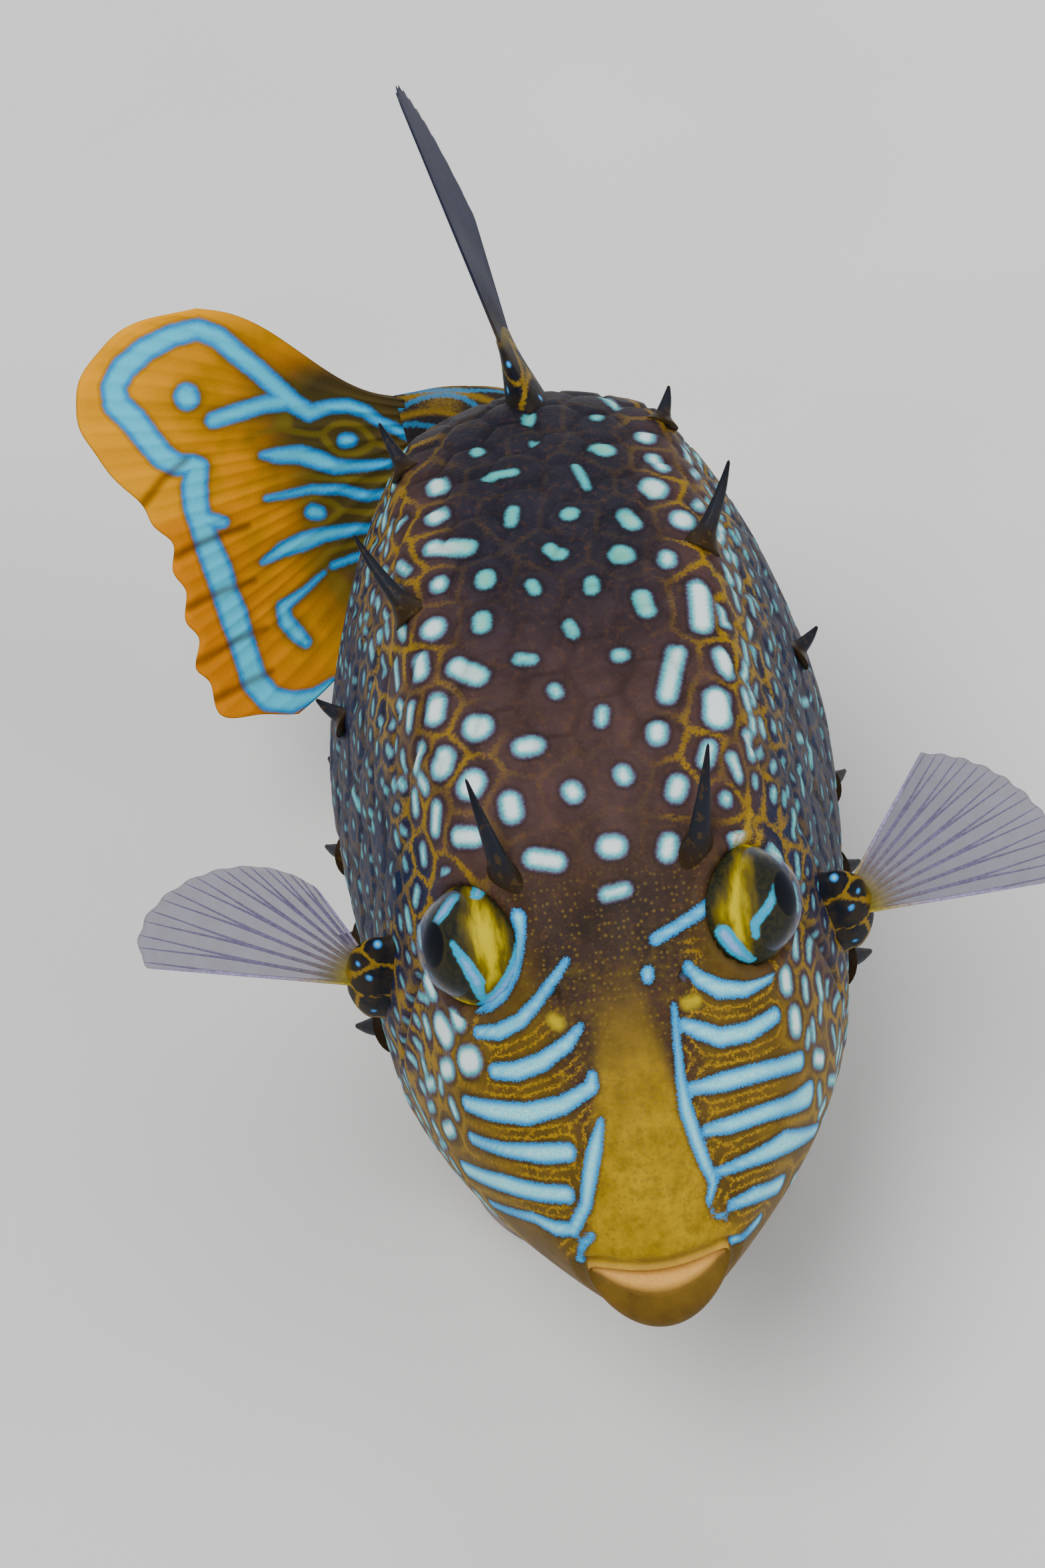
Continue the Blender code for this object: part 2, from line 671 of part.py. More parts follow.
def make_pectoral(name, side, reach, turn, spread, fall, collection, finish):
    """A pectoral fin: a fleshy base on the flank that carries a fan of rays."""
    corner0 = PECTORAL_CORNER if side > 0 else CORNERS - PECTORAL_CORNER
    out = shell_normal(PECTORAL_S, corner0)
    turns = np.arange(12) * 2 * math.pi / 12
    lean = np.array((0.0, 0.5, 0.35))
    rings = []
    for height, width in PECTORAL_LOBE:
        ring = []
        for a in turns:
            s = PECTORAL_S + PECTORAL_LOBE_S * width * math.cos(a)
            corner = corner0 + side * PECTORAL_LOBE_CORNER * width * math.sin(a)
            foot = shell(s, corner) + (GAP + PLATE_RISE) * shell_normal(s, corner)
            ring.append(foot + height * (out + lean * height / 8))
        rings.append(ring)
    lobe = loft(rings, name, collection, finish)

    across = np.array((float(side), 0.0, 0.0))
    behind = np.array((0.0, math.cos(PECTORAL_SLOPE), math.sin(PECTORAL_SLOPE)))
    hub = shell(PECTORAL_S, corner0) + 2.6 * out + np.array((0.0, 0.3, 0.2))
    normal = np.cross(across, behind)

    def root(w):
        return hub + w * (behind * 0.9 - across * 0.4)

    def tip(w):
        length = reach * (1 - fall * ((w + 1) / 2) ** 1.4) * (1 - 0.12 * max(-w, 0) ** 4)
        angle = turn + spread * (w + 1) / 2
        return hub + length * (math.cos(angle) * across + math.sin(angle) * behind)

    thick = PECTORAL_ROOT_THICK
    fan = fan_fin(name + "_fan", root, tip, normal, PECTORAL_RAYS, 6, thick, collection, finish, bow=PECTORAL_BOW)
    combine(lobe, [fan], "UNION")
    return lobe


def make_stand(collection, base_finish, rod_finish):
    """A flat base with rounded edges and two short rods up to the belly."""
    centre = world((0.0, BASE_CENTRE, 0.0))
    shape = bmesh.new()
    bmesh.ops.create_cube(shape, size=1.0)
    width, depth, height = BASE_SIZE
    bmesh.ops.scale(shape, verts=shape.verts, vec=(width * MM, depth * MM, height * MM))
    bmesh.ops.translate(shape, verts=shape.verts, vec=(centre.x, centre.y, height * MM / 2))
    upright = [e for e in shape.edges if abs(e.verts[0].co.z - e.verts[1].co.z) > 1e-6]
    bmesh.ops.bevel(
        shape, geom=upright, offset=BASE_CORNER * MM, segments=8, profile=0.5, affect="EDGES", material=-1
    )
    top = [e for e in shape.edges if min(v.co.z for v in e.verts) > (height - 0.01) * MM]
    bmesh.ops.bevel(shape, geom=top, offset=BASE_EDGE * MM, segments=2, profile=0.5, affect="EDGES", material=-1)
    finish_mesh("stand_base", shape, collection, base_finish)
    for number, s in enumerate(ROD_STATIONS, 1):
        belly = world(shell(s, 4.0))
        foot = height * MM + GAP * MM
        head = belly.z - (GAP + PLATE_RISE) * MM
        shape = bmesh.new()
        bmesh.ops.create_cone(
            shape, cap_ends=True, segments=16, radius1=ROD_RADIUS * MM, radius2=ROD_RADIUS * MM, depth=head - foot
        )
        bmesh.ops.translate(shape, verts=shape.verts, vec=(belly.x, belly.y, (head + foot) / 2))
        finish_mesh(f"stand_rod_{number}", shape, collection, rod_finish)


def main():
    for old in list(bpy.data.objects):
        bpy.data.objects.remove(old)
    fish = bpy.data.collections.new("ornate_cowfish")
    bpy.context.scene.collection.children.link(fish)
    shell_finish = material("spotted_shell", (0.05, 0.03, 0.03), 0.45)
    face_finish = material("striped_face", (0.30, 0.20, 0.05), 0.45)
    tail_finish = material("orange_tail", (0.80, 0.36, 0.03), 0.5)
    fin_finish = material("clear_fin", (0.32, 0.30, 0.40), 0.4)
    horn_finish = material("dark_horn", (0.06, 0.05, 0.06), 0.4)
    eye_finish = material("eye", (0.5, 0.35, 0.05), 0.1)
    base_finish = material("stand_wood", (0.12, 0.06, 0.03), 0.4)
    rod_finish = material("stand_steel", (0.6, 0.6, 0.6), 0.3, 1.0)

    make_trunk(fish, shell_finish)
    make_head(fish, face_finish)
    make_stalk(fish, shell_finish)
    make_tail_fin(fish, tail_finish)
    dorsal = (DORSAL_STATIONS, DORSAL_LENGTH, DORSAL_LEAN, DORSAL_CURL)
    make_median_fin("dorsal_fin", CREST_Z, 1, *dorsal, fish, fin_finish)
    anal = (ANAL_STATIONS, ANAL_LENGTH, ANAL_LEAN, ANAL_CURL)
    make_median_fin("anal_fin", BELLY_Z, -1, *anal, fish, fin_finish)
    make_pectoral("pectoral_fin_left", 1, *PECTORAL_LEFT, fish, fin_finish)
    make_pectoral("pectoral_fin_right", -1, *PECTORAL_RIGHT, fish, fin_finish)
    for side, word in ((1, "left"), (-1, "right")):
        make_eye("eye_" + word, side, fish, eye_finish)
        make_horn("brow_horn_" + word, side, fish, horn_finish)
    make_stand(fish, base_finish, rod_finish)


main()
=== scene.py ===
import math

import bmesh
import bpy
import numpy as np
from mathutils import Matrix, Vector
from mathutils.bvhtree import BVHTree


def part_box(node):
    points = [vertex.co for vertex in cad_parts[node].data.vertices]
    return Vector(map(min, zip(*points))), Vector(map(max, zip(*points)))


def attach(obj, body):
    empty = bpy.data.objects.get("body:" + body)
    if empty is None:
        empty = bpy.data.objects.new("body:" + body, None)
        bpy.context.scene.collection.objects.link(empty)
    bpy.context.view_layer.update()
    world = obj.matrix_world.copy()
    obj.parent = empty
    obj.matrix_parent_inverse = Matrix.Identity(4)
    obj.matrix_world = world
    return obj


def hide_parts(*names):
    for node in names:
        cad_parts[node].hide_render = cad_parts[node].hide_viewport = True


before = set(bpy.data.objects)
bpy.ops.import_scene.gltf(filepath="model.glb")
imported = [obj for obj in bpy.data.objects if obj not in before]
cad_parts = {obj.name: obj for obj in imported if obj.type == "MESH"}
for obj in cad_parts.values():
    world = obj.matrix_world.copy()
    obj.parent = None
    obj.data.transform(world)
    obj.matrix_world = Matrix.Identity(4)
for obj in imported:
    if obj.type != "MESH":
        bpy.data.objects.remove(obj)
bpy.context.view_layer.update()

# Driving sizes, the same as the solids', but with a ring more in the lips and plates that rise a little less
FISH_LEVEL = 40.0
MM = 0.001
STATIONS = (0, 3, 8, 14, 20, 26, 34, 44, 56, 68, 79, 88, 93.5, 98)
CREST_Z = (2.2, 5.6, 10.2, 14.6, 18.6, 22.2, 25.8, 28.6, 29.9, 29.2, 26.8, 23.2, 18.6, 10.5)
ROOF_X = (3.6, 4.4, 5.6, 7.0, 8.0, 8.8, 11.8, 13.6, 13.9, 13.4, 12.6, 11.2, 9.0, 4.8)
ROOF_Z = (0.8, 3.6, 7.8, 12.4, 17.0, 21.6, 24.4, 26.4, 26.9, 25.9, 23.4, 19.8, 15.2, 8.3)
FLANK_X = (5.2, 7.2, 10.4, 13.9, 16.2, 17.6, 19.6, 20.6, 21.6, 21.8, 20.2, 16.8, 12.4, 6.2)
FLANK_Z = (-1.4, -0.4, 1.5, 4.0, 6.4, 8.0, 9.0, 9.2, 9.0, 8.6, 8.0, 7.0, 5.5, 3.2)
KEEL_X = (2.8, 5.0, 8.6, 12.6, 16.0, 18.2, 20.0, 21.2, 22.4, 22.6, 20.6, 16.8, 11.8, 5.2)
KEEL_Z = (-4.0, -5.6, -7.2, -8.4, -9.2, -9.8, -10.4, -10.8, -11.0, -10.8, -9.6, -7.6, -5.0, -2.0)
BELLY_Z = (-6.2, -8.6, -11.6, -14.4, -16.4, -18.0, -19.4, -20.4, -20.8, -20.2, -17.8, -14.0, -9.6, -4.5)
ROOF_RIDGE = 0.7
KEEL_RIDGE = 1.1
RIDGE_WIDTH = 0.16
RIDGE_START = 18.0
RIDGE_FADE = 13.0
SHELL_END = 98.0
CORNERS = 8.0
SEAM_S = 31.0
SEAM_LEAN = 0.25
PLATE_ROWS = 24
PLATE_COLUMNS = 10
PLATE_WIDE = 5.4
PLATE_LONG = 6.7
PLATE_RISE = 0.3
LIP_WIDTH = 6.2
LIP_BOW = 2.6
LIP_SMILE = 0.1
MOUTH_Z = 0.2
HEAD_FRONT = 1.0
LIP_RINGS = (
    (5.6, 0.0, 0.0, 2.9, 2.9),
    (5.8, 0.2, 0.3, 2.2, 1.1),
    (6.0, 0.5, 1.6, 1.4, -0.5),
    (6.4, 1.0, 4.0, 1.0, -1.6),
    (6.7, 1.6, 5.8, 1.2, -0.5),
)
EYE_PLACE = (11.1, 27.6, 17.2)
EYE_RADIUS = 5.8
EYE_AXIS = (0.86, -0.22, 0.42)
HORN_CORNER = 0.86
HORN_STATION = 28.6
HORN_TIP = (10.8, 34.2, 32.4)
HORN_RADIUS = 1.4
HORN_BOW = (0.0, -0.54, 0.27)
NOSTRIL_CORNER = 0.72
NOSTRIL_S = 20.0
GILL_S = 29.8
GILL_CORNERS = (1.75, 2.6)
ROOF_SPINES = {1: ((63.5, 7.8, 1.0, 46), (84, 3.6, 0.9, 50)), -1: ((60, 8.4, 1.0, 46), (82, 5.2, 0.9, 50))}
FLANK_SPINES = ((64, 3.4, 1.0, 40),)
KEEL_SPINES = (
    (42, 4.6, 1.5, 30), (53, 4.2, 1.3, 35), (64, 4.4, 1.3, 40), (74, 4.6, 1.3, 45), (83, 3.6, 1.1, 50),
)
BEND = math.radians(103)
BEND_RADIUS = 8.0
TWIST = math.radians(30)
STALK_STRAIGHT = 3.0
STALK_LEVEL = 3.0
STALK_DEPTHS = (7.0, 4.2, 5.0)
STALK_WIDTHS = (5.6, 1.3)
TAIL_ROOT_HALF = 4.6
TAIL_RAYS = 11
TAIL_TIPS_W = (-1.0, -0.85, -0.7, -0.5, -0.3, -0.1, 0.1, 0.3, 0.5, 0.7, 0.85, 1.0)
TAIL_TIPS_OUT = (18.6, 25.4, 27.4, 27.2, 27.1, 27.0, 28.6, 31.2, 31.8, 28.2, 23.4, 17.2)
TAIL_TIPS_UP = (-24.2, -22.8, -18.4, -13.4, -8.0, -2.6, 2.8, 8.6, 14.3, 18.9, 20.7, 20.2)
TAIL_SWELL = (3.6, 1.3)
TAIL_BOW = -1.2
PECTORAL_S = 35.6
PECTORAL_CORNER = 2.25
PECTORAL_SLOPE = math.radians(42)
PECTORAL_LEFT = (20.0, math.radians(-2), math.radians(62), 0.25)
PECTORAL_RIGHT = (22.5, math.radians(10), math.radians(62), 0.6)
ROD_STATIONS = (44.0, 70.0)

rod_low, rod_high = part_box("stand_rod_1")
FISH_X = (rod_low.x + rod_high.x) / 2 / MM
FISH_S = ROD_STATIONS[0] - (rod_low.y + rod_high.y) / 2 / MM
TO_FRAME = Matrix.Scale(MM, 4) @ Matrix.Translation((FISH_X, -FISH_S, FISH_LEVEL))

# The camera looks down at the fish from in front, rolled a little, as the photograph does
PHOTO_WIDTH = 1568
PHOTO_HEIGHT = 2352
CAMERA_DOWN = math.radians(50)
CAMERA_ROLL = math.radians(8.3)
CAMERA_REACH = 420.0
CAMERA_AIM = np.array((-5.9, 45.0, 17.6))
PIXELS_PER_MM = 16.3
FOCAL = PIXELS_PER_MM * CAMERA_REACH
SENSOR = 36.0
AHEAD = np.array((0.0, math.cos(CAMERA_DOWN), -math.sin(CAMERA_DOWN)))
LEVEL_UP = np.array((0.0, math.sin(CAMERA_DOWN), math.cos(CAMERA_DOWN)))
CAMERA_UP = LEVEL_UP * math.cos(CAMERA_ROLL) + np.array((1.0, 0.0, 0.0)) * math.sin(CAMERA_ROLL)
CAMERA_RIGHT = np.array((1.0, 0.0, 0.0)) * math.cos(CAMERA_ROLL) - LEVEL_UP * math.sin(CAMERA_ROLL)
CAMERA_PLACE = CAMERA_AIM - AHEAD * CAMERA_REACH


def through(knots, values, at):
    """A smooth curve through the values at the knots, read at the given places."""
    knots = np.asarray(knots, float)
    values = np.asarray(values, float)
    at = np.asarray(at, float)
    slopes = np.gradient(values, knots)
    left = np.clip(np.searchsorted(knots, at, side="right") - 1, 0, len(knots) - 2)
    step = knots[left + 1] - knots[left]
    t = (at - knots[left]) / step
    start = values[left] * (1 + 2 * t) * (1 - t) ** 2 + step * slopes[left] * t * (1 - t) ** 2
    end = values[left + 1] * t * t * (3 - 2 * t) + step * slopes[left + 1] * t * t * (t - 1)
    return start + end


def mix(a, b, t):
    return a * (1 - t) + b * t


def smooth(t):
    t = np.clip(t, 0, 1)
    return t * t * (3 - 2 * t)


def unit(v):
    v = np.asarray(v, float)
    return v / np.linalg.norm(v, axis=-1, keepdims=True)


def half_round(corner):
    """The corner's number from the crest down to the belly, whichever side it is on."""
    return np.where(corner > 4, CORNERS - corner, corner)


def spline(before, first, last, after, t):
    """A smooth curve through four values in a row, read at t between the middle two."""
    bend = 2 * before - 5 * first + 4 * last - after
    twist = 3 * first - before - 3 * last + after
    return first + 0.5 * t * (last - before + t * (bend + t * twist))


def shell(s, corner):
    """Places on the shell: corner 0 is the crest, 1 the left roof edge, 2 its flank, 3 its keel, 4 the belly.

    The right side follows, up to 8."""
    s, corner = np.broadcast_arrays(np.asarray(s, float), np.asarray(corner, float) % CORNERS)
    side = np.where(corner > 4, -1.0, 1.0)
    half = half_round(corner)
    crest, roof_x, roof_z, flank_x, flank_z, keel_x, keel_z, belly = (
        through(STATIONS, row, s)
        for row in (CREST_Z, ROOF_X, ROOF_Z, FLANK_X, FLANK_Z, KEEL_X, KEEL_Z, BELLY_Z)
    )
    nought = np.zeros_like(crest)
    across = np.stack([-roof_x, nought, roof_x, flank_x, keel_x, nought, -keel_x])
    height = np.stack([roof_z, crest, roof_z, flank_z, keel_z, belly, keel_z])
    left = np.clip(half.astype(int), 0, 3)
    t = half - left

    def along(row):
        return spline(*(np.take_along_axis(row, (left + k)[None], axis=0)[0] for k in range(4)), t)

    x = along(across)
    z = along(height)
    middle = (crest + belly) / 2
    reach = np.hypot(x, z - middle) + 1e-9
    behind = smooth((s - RIDGE_START) / RIDGE_FADE) * smooth((SHELL_END - s) / RIDGE_FADE)
    rise = ROOF_RIDGE * np.exp(-(((half - 1) / RIDGE_WIDTH) ** 2))
    rise = behind * (rise + KEEL_RIDGE * np.exp(-(((half - 3) / RIDGE_WIDTH) ** 2)))
    return np.stack([side * (x + rise * x / reach), s, z + rise * (z - middle) / reach], axis=-1)


def shell_normal(s, corner):
    """The outward normal of the shell there."""
    step = 0.02
    along = shell(s + step, corner) - shell(s - step, corner)
    around = shell(s, corner + step) - shell(s, corner - step)
    return unit(np.cross(around, along))


def seam_station(corner):
    """Where the plates of the trunk start, at this corner of the section."""
    s = np.full_like(np.asarray(corner, float), SEAM_S)
    for _ in range(6):
        s = SEAM_S + SEAM_LEAN * shell(s, corner)[..., 2]
    return s


def stalk_path(t):
    """The stalk's middle line t millimetres behind the shell: its place and the angle that it has turned."""
    angle = np.clip(t / BEND_RADIUS, 0, BEND)
    past = np.maximum(t - BEND * BEND_RADIUS, 0)
    x = -BEND_RADIUS * (1 - np.cos(angle)) - past * np.sin(angle)
    s = SHELL_END + BEND_RADIUS * np.sin(angle) + past * np.cos(angle)
    return np.stack([x, s, np.full_like(x, STALK_LEVEL)], axis=-1), angle


def stalk_axes(angle, turn):
    """Length and depth directions of the stalk where it has turned by the angle and twisted by the turn."""
    nought = np.zeros_like(angle)
    along = np.stack([-np.sin(angle), np.cos(angle), nought], axis=-1)
    back = np.stack([np.cos(angle), np.sin(angle), nought], axis=-1)
    up = np.array((0.0, 0.0, 1.0))
    deep = np.cos(turn)[..., None] * up + np.sin(turn)[..., None] * back
    return along, deep


def grid(place, across, along):
    """A sheet of squares moved to place(u, v) and welded where its edges meet. Its corners keep u and v."""
    shape = bmesh.new()
    bmesh.ops.create_grid(shape, x_segments=across, y_segments=along, size=1.0)
    flat = np.array([vert.co[:2] for vert in shape.verts])
    flat = (flat - flat.min(axis=0)) / (flat.max(axis=0) - flat.min(axis=0))
    u_layer = shape.verts.layers.float.new("u")
    v_layer = shape.verts.layers.float.new("v")
    for vert, (u, v), spot in zip(shape.verts, flat, place(flat[:, 0], flat[:, 1])):
        vert.co = spot
        vert[u_layer] = u
        vert[v_layer] = v
    bmesh.ops.remove_doubles(shape, verts=shape.verts, dist=0.003)
    bmesh.ops.dissolve_degenerate(shape, dist=0.001, edges=shape.edges)
    bmesh.ops.recalc_face_normals(shape, faces=shape.faces)
    return shape


def read(shape):
    """Places, normals, u and v of the shape's corners."""
    shape.normal_update()
    spots = np.array([vert.co for vert in shape.verts])
    normals = np.array([vert.normal for vert in shape.verts])
    kept = [shape.verts.layers.float.get(name) for name in ("u", "v")]
    u, v = (np.array([vert[layer] for vert in shape.verts]) if layer else None for layer in kept)
    return spots, normals, u, v


def piece(name, shapes, finish, replaces=(), fields=None, spots=None, sharp=None):
    """Joins the shapes into one finished object in the frame, which rides on the one body."""
    mesh = bpy.data.meshes.new(name)
    if len(shapes) > 1:
        whole = bmesh.new()
        for shape in shapes:
            part = bpy.data.meshes.new(name + "_part")
            shape.to_mesh(part)
            shape.free()
            whole.from_mesh(part)
            bpy.data.meshes.remove(part)
    else:
        whole = shapes[0]
    if spots is not None:
        for vert, spot in zip(whole.verts, spots):
            vert.co = spot
    bmesh.ops.transform(whole, matrix=TO_FRAME, verts=whole.verts)
    whole.to_mesh(mesh)
    whole.free()
    for key, values in (fields or {}).items():
        values = np.asarray(values, np.float32)
        kind = "FLOAT" if values.ndim == 1 else "FLOAT_COLOR"
        layer = mesh.attributes.new(key, kind, "POINT")
        layer.data.foreach_set("value" if values.ndim == 1 else "color", values.ravel())
    mesh.materials.append(finish)
    mesh.shade_smooth()
    if sharp:
        mesh.set_sharp_from_angle(angle=math.radians(sharp))
    made = bpy.data.objects.new(name, mesh)
    bpy.context.scene.collection.objects.link(made)
    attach(made, "root")
    if replaces:
        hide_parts(*replaces)
    return made


def sight(tree, x, y):
    """The place on a surface that shows at this pixel of the photograph, or None."""
    ray = AHEAD * FOCAL + CAMERA_RIGHT * (x - PHOTO_WIDTH / 2) + CAMERA_UP * (PHOTO_HEIGHT / 2 - y)
    found = tree.ray_cast(Vector(CAMERA_PLACE), Vector(unit(ray)))[0]
    return None if found is None else np.array(found)


def strokes_on(tree, view, routes):
    """Brush strokes on a surface, from routes read in an enlarged view of the photograph.

    The view is its left, top and scale. A route is its points (x, y, half width)."""
    left, top, scale = view
    made = []
    for route in routes:
        places = []
        widths = []
        for i, (x, y, half) in enumerate(route):
            here = sight(tree, left + x * scale, top + y * scale)
            if here is None:
                continue
            ahead = route[min(i + 1, len(route) - 1)]
            behind = route[max(i - 1, 0)]
            heading = unit((ahead[0] - behind[0], ahead[1] - behind[1])) if len(route) > 1 else (1.0, 0.0)
            aside = (x - heading[1] * half, y + heading[0] * half)
            beside = sight(tree, left + aside[0] * scale, top + aside[1] * scale)
            width = half * scale / PIXELS_PER_MM
            if beside is not None:
                width = min(max(width, np.linalg.norm(beside - here)), 1.8 * width)
            places.append(here)
            widths.append(width)
        if len(places) == 1:
            places.append(places[0] + 0.01)
            widths.append(widths[0])
        if places:
            made.append((np.array(places), np.array(widths)))
    return made


def spots_on(tree, view, marks):
    """Oval spots on a surface, read in the same way: x, y, half length, half width and turn in degrees."""
    left, top, scale = view
    made = []
    for x, y, long, short, turn in marks:
        way = np.array((math.cos(math.radians(turn)), math.sin(math.radians(turn))))
        side = np.array((-way[1], way[0]))
        here = sight(tree, left + x * scale, top + y * scale)
        if here is None:
            continue
        arms = []
        for arm, size in ((way, long), (side, short)):
            there = sight(tree, left + (x + arm[0] * size) * scale, top + (y + arm[1] * size) * scale)
            back = sight(tree, left + (x - arm[0] * size) * scale, top + (y - arm[1] * size) * scale)
            if there is None or back is None:
                arms.append(CAMERA_UP * size * scale / PIXELS_PER_MM)
            else:
                arms.append((there - back) / 2)
        arms.sort(key=np.linalg.norm)
        radius = min(np.linalg.norm(arms[0]), 1.6 * short * scale / PIXELS_PER_MM)
        length = max(min(np.linalg.norm(arms[1]), 2.2 * long * scale / PIXELS_PER_MM) - radius, 0.01)
        reach = unit(arms[1]) * length
        made.append((np.array([here - reach, here + reach]), np.array([radius, radius])))
    return made


def stroke_field(points, strokes, reach=6.0):
    """How far each point lies outside the nearest stroke, negative inside, and outside the next nearest."""
    first = np.full(len(points), reach)
    second = np.full(len(points), reach)
    for route, widths in strokes:
        pad = reach + widths.max()
        in_reach = (points > route.min(axis=0) - pad) & (points < route.max(axis=0) + pad)
        near = np.nonzero(in_reach.all(axis=1))[0]
        if not len(near):
            continue
        close = points[near]
        best = np.full(len(near), reach)
        for a, b, wide_a, wide_b in zip(route, route[1:], widths, widths[1:]):
            edge = b - a
            t = np.clip((close - a) @ edge / max(edge @ edge, 1e-9), 0, 1)
            away = np.linalg.norm(close - a - t[:, None] * edge, axis=1) - mix(wide_a, wide_b, t)
            best = np.minimum(best, away)
        second[near] = np.minimum(second[near], np.maximum(first[near], best))
        first[near] = np.minimum(first[near], best)
    return first, second


def tint(red, green, blue):
    """A colour in a colour picker's numbers, 0 to 255, as Blender mixes it."""
    mixed = (((c / 255 + 0.055) / 1.055) ** 2.4 if c > 10 else c / 255 / 12.92 for c in (red, green, blue))
    return (*mixed, 1.0)


class Paint:
    """A finish laid coat over coat on one Principled shader, with its patterns on the fish's own axes."""

    def __init__(self, name, colour, roughness, **settings):
        self.material = bpy.data.materials.new(name)
        self.material.use_nodes = True
        self.tree = self.material.node_tree
        self.shader = self.tree.nodes["Principled BSDF"]
        self.colour = colour
        self.shader.inputs["Base Color"].default_value = colour
        self.shader.inputs["Roughness"].default_value = roughness
        for key, value in settings.items():
            self.shader.inputs[key.replace("_", " ")].default_value = value

    def join(self, value, socket):
        """Links a node's result to a socket, or sets a plain value on it."""
        if isinstance(value, bpy.types.NodeSocket):
            self.tree.links.new(value, socket)
        else:
            socket.default_value = value

    def add(self, kind, *values, **settings):
        """A node with its settings made and its inputs filled in order, None leaving one as it is."""
        node = self.tree.nodes.new("ShaderNode" + kind)
        for key, value in settings.items():
            setattr(node, key, value)
        for socket, value in zip(node.inputs, values):
            if value is not None:
                self.join(value, socket)
        return node

    def field(self, name, output="Fac"):
        """The number or colour that each corner of the piece carries under this name."""
        return self.add("Attribute", attribute_name=name).outputs[output]

    def plus(self, a, b):
        return self.add("Math", a, b, operation="ADD").outputs[0]

    def times(self, a, b):
        return self.add("Math", a, b, operation="MULTIPLY").outputs[0]

    def rise(self, value, low, high, start=0.0, end=1.0):
        """Smooth climb from start to end while a value, or the field of that name, goes from low to high."""
        value = self.field(value) if isinstance(value, str) else value
        return self.add("MapRange", value, low, high, start, end, interpolation_type="SMOOTHSTEP").outputs[0]

    def ragged(self, name, grain, amount):
        """A field whose edges waver by the amount with the grain."""
        return self.plus(self.field(name), self.rise(grain, *WAVER, -amount, amount))

    def blend(self, share, a, b, kind="MIX"):
        node = self.tree.nodes.new("ShaderNodeMix")
        node.data_type = "RGBA"
        node.blend_type = kind
        for socket, value in ((node.inputs[0], share), (node.inputs[6], a), (node.inputs[7], b)):
            self.join(value, socket)
        return node.outputs[2]

    def coat(self, share, colour):
        """Lays a coat of a new colour over the last one, as dense as its share."""
        self.colour = self.blend(share, self.colour, colour)

    def coats(self, value, layers):
        """Lays coats that fade while the value goes from low to high, each with its density and colour."""
        for low, high, density, colour in layers:
            self.coat(self.rise(value, low, high, density, 0.0), colour)

    def shade(self, amount):
        """Makes the colour darker or lighter by the amount."""
        self.colour = self.blend(1.0, self.colour, amount, "MULTIPLY")

    def mapped(self, scale):
        place = self.add("TexCoord").outputs["Object"]
        return self.add("Mapping", place, None, None, scale).outputs[0]

    def noise(self, per_mm, detail=2.0, rough=0.5, stretch=(1, 1, 1)):
        """Noise with so many waves to the millimetre."""
        node = self.add("TexNoise", self.mapped(tuple(per_mm / MM * s for s in stretch)))
        node.inputs["Scale"].default_value = 1.0
        node.inputs["Detail"].default_value = detail
        node.inputs["Roughness"].default_value = rough
        return node.outputs[0]

    def grains(self, per_mm, randomness=1.0):
        """Grains, so many to the millimetre, as the distance from the middle of each."""
        node = self.add("TexVoronoi", self.mapped((per_mm / MM,) * 3))
        node.inputs["Scale"].default_value = 1.0
        node.inputs["Randomness"].default_value = randomness
        return node.outputs["Distance"]

    def bump(self, height, distance, strength):
        """Fine relief, its distance in millimetres."""
        node = self.add("Bump")
        node.inputs["Strength"].default_value = strength
        node.inputs["Distance"].default_value = distance * MM
        self.join(height, node.inputs["Height"])
        self.join(node.outputs[0], self.shader.inputs["Normal"])

    def finish(self):
        """Puts the last colour on the shader and hands over the material."""
        self.join(self.colour, self.shader.inputs["Base Color"])
        return self.material


# Markings read in enlarged views of the photograph: left, top and scale of each view
BACK_VIEW = (480, 540, 0.5357)
FACE_VIEW = (480, 1240, 0.5357)
TAIL_VIEW = (90, 430, 0.44)

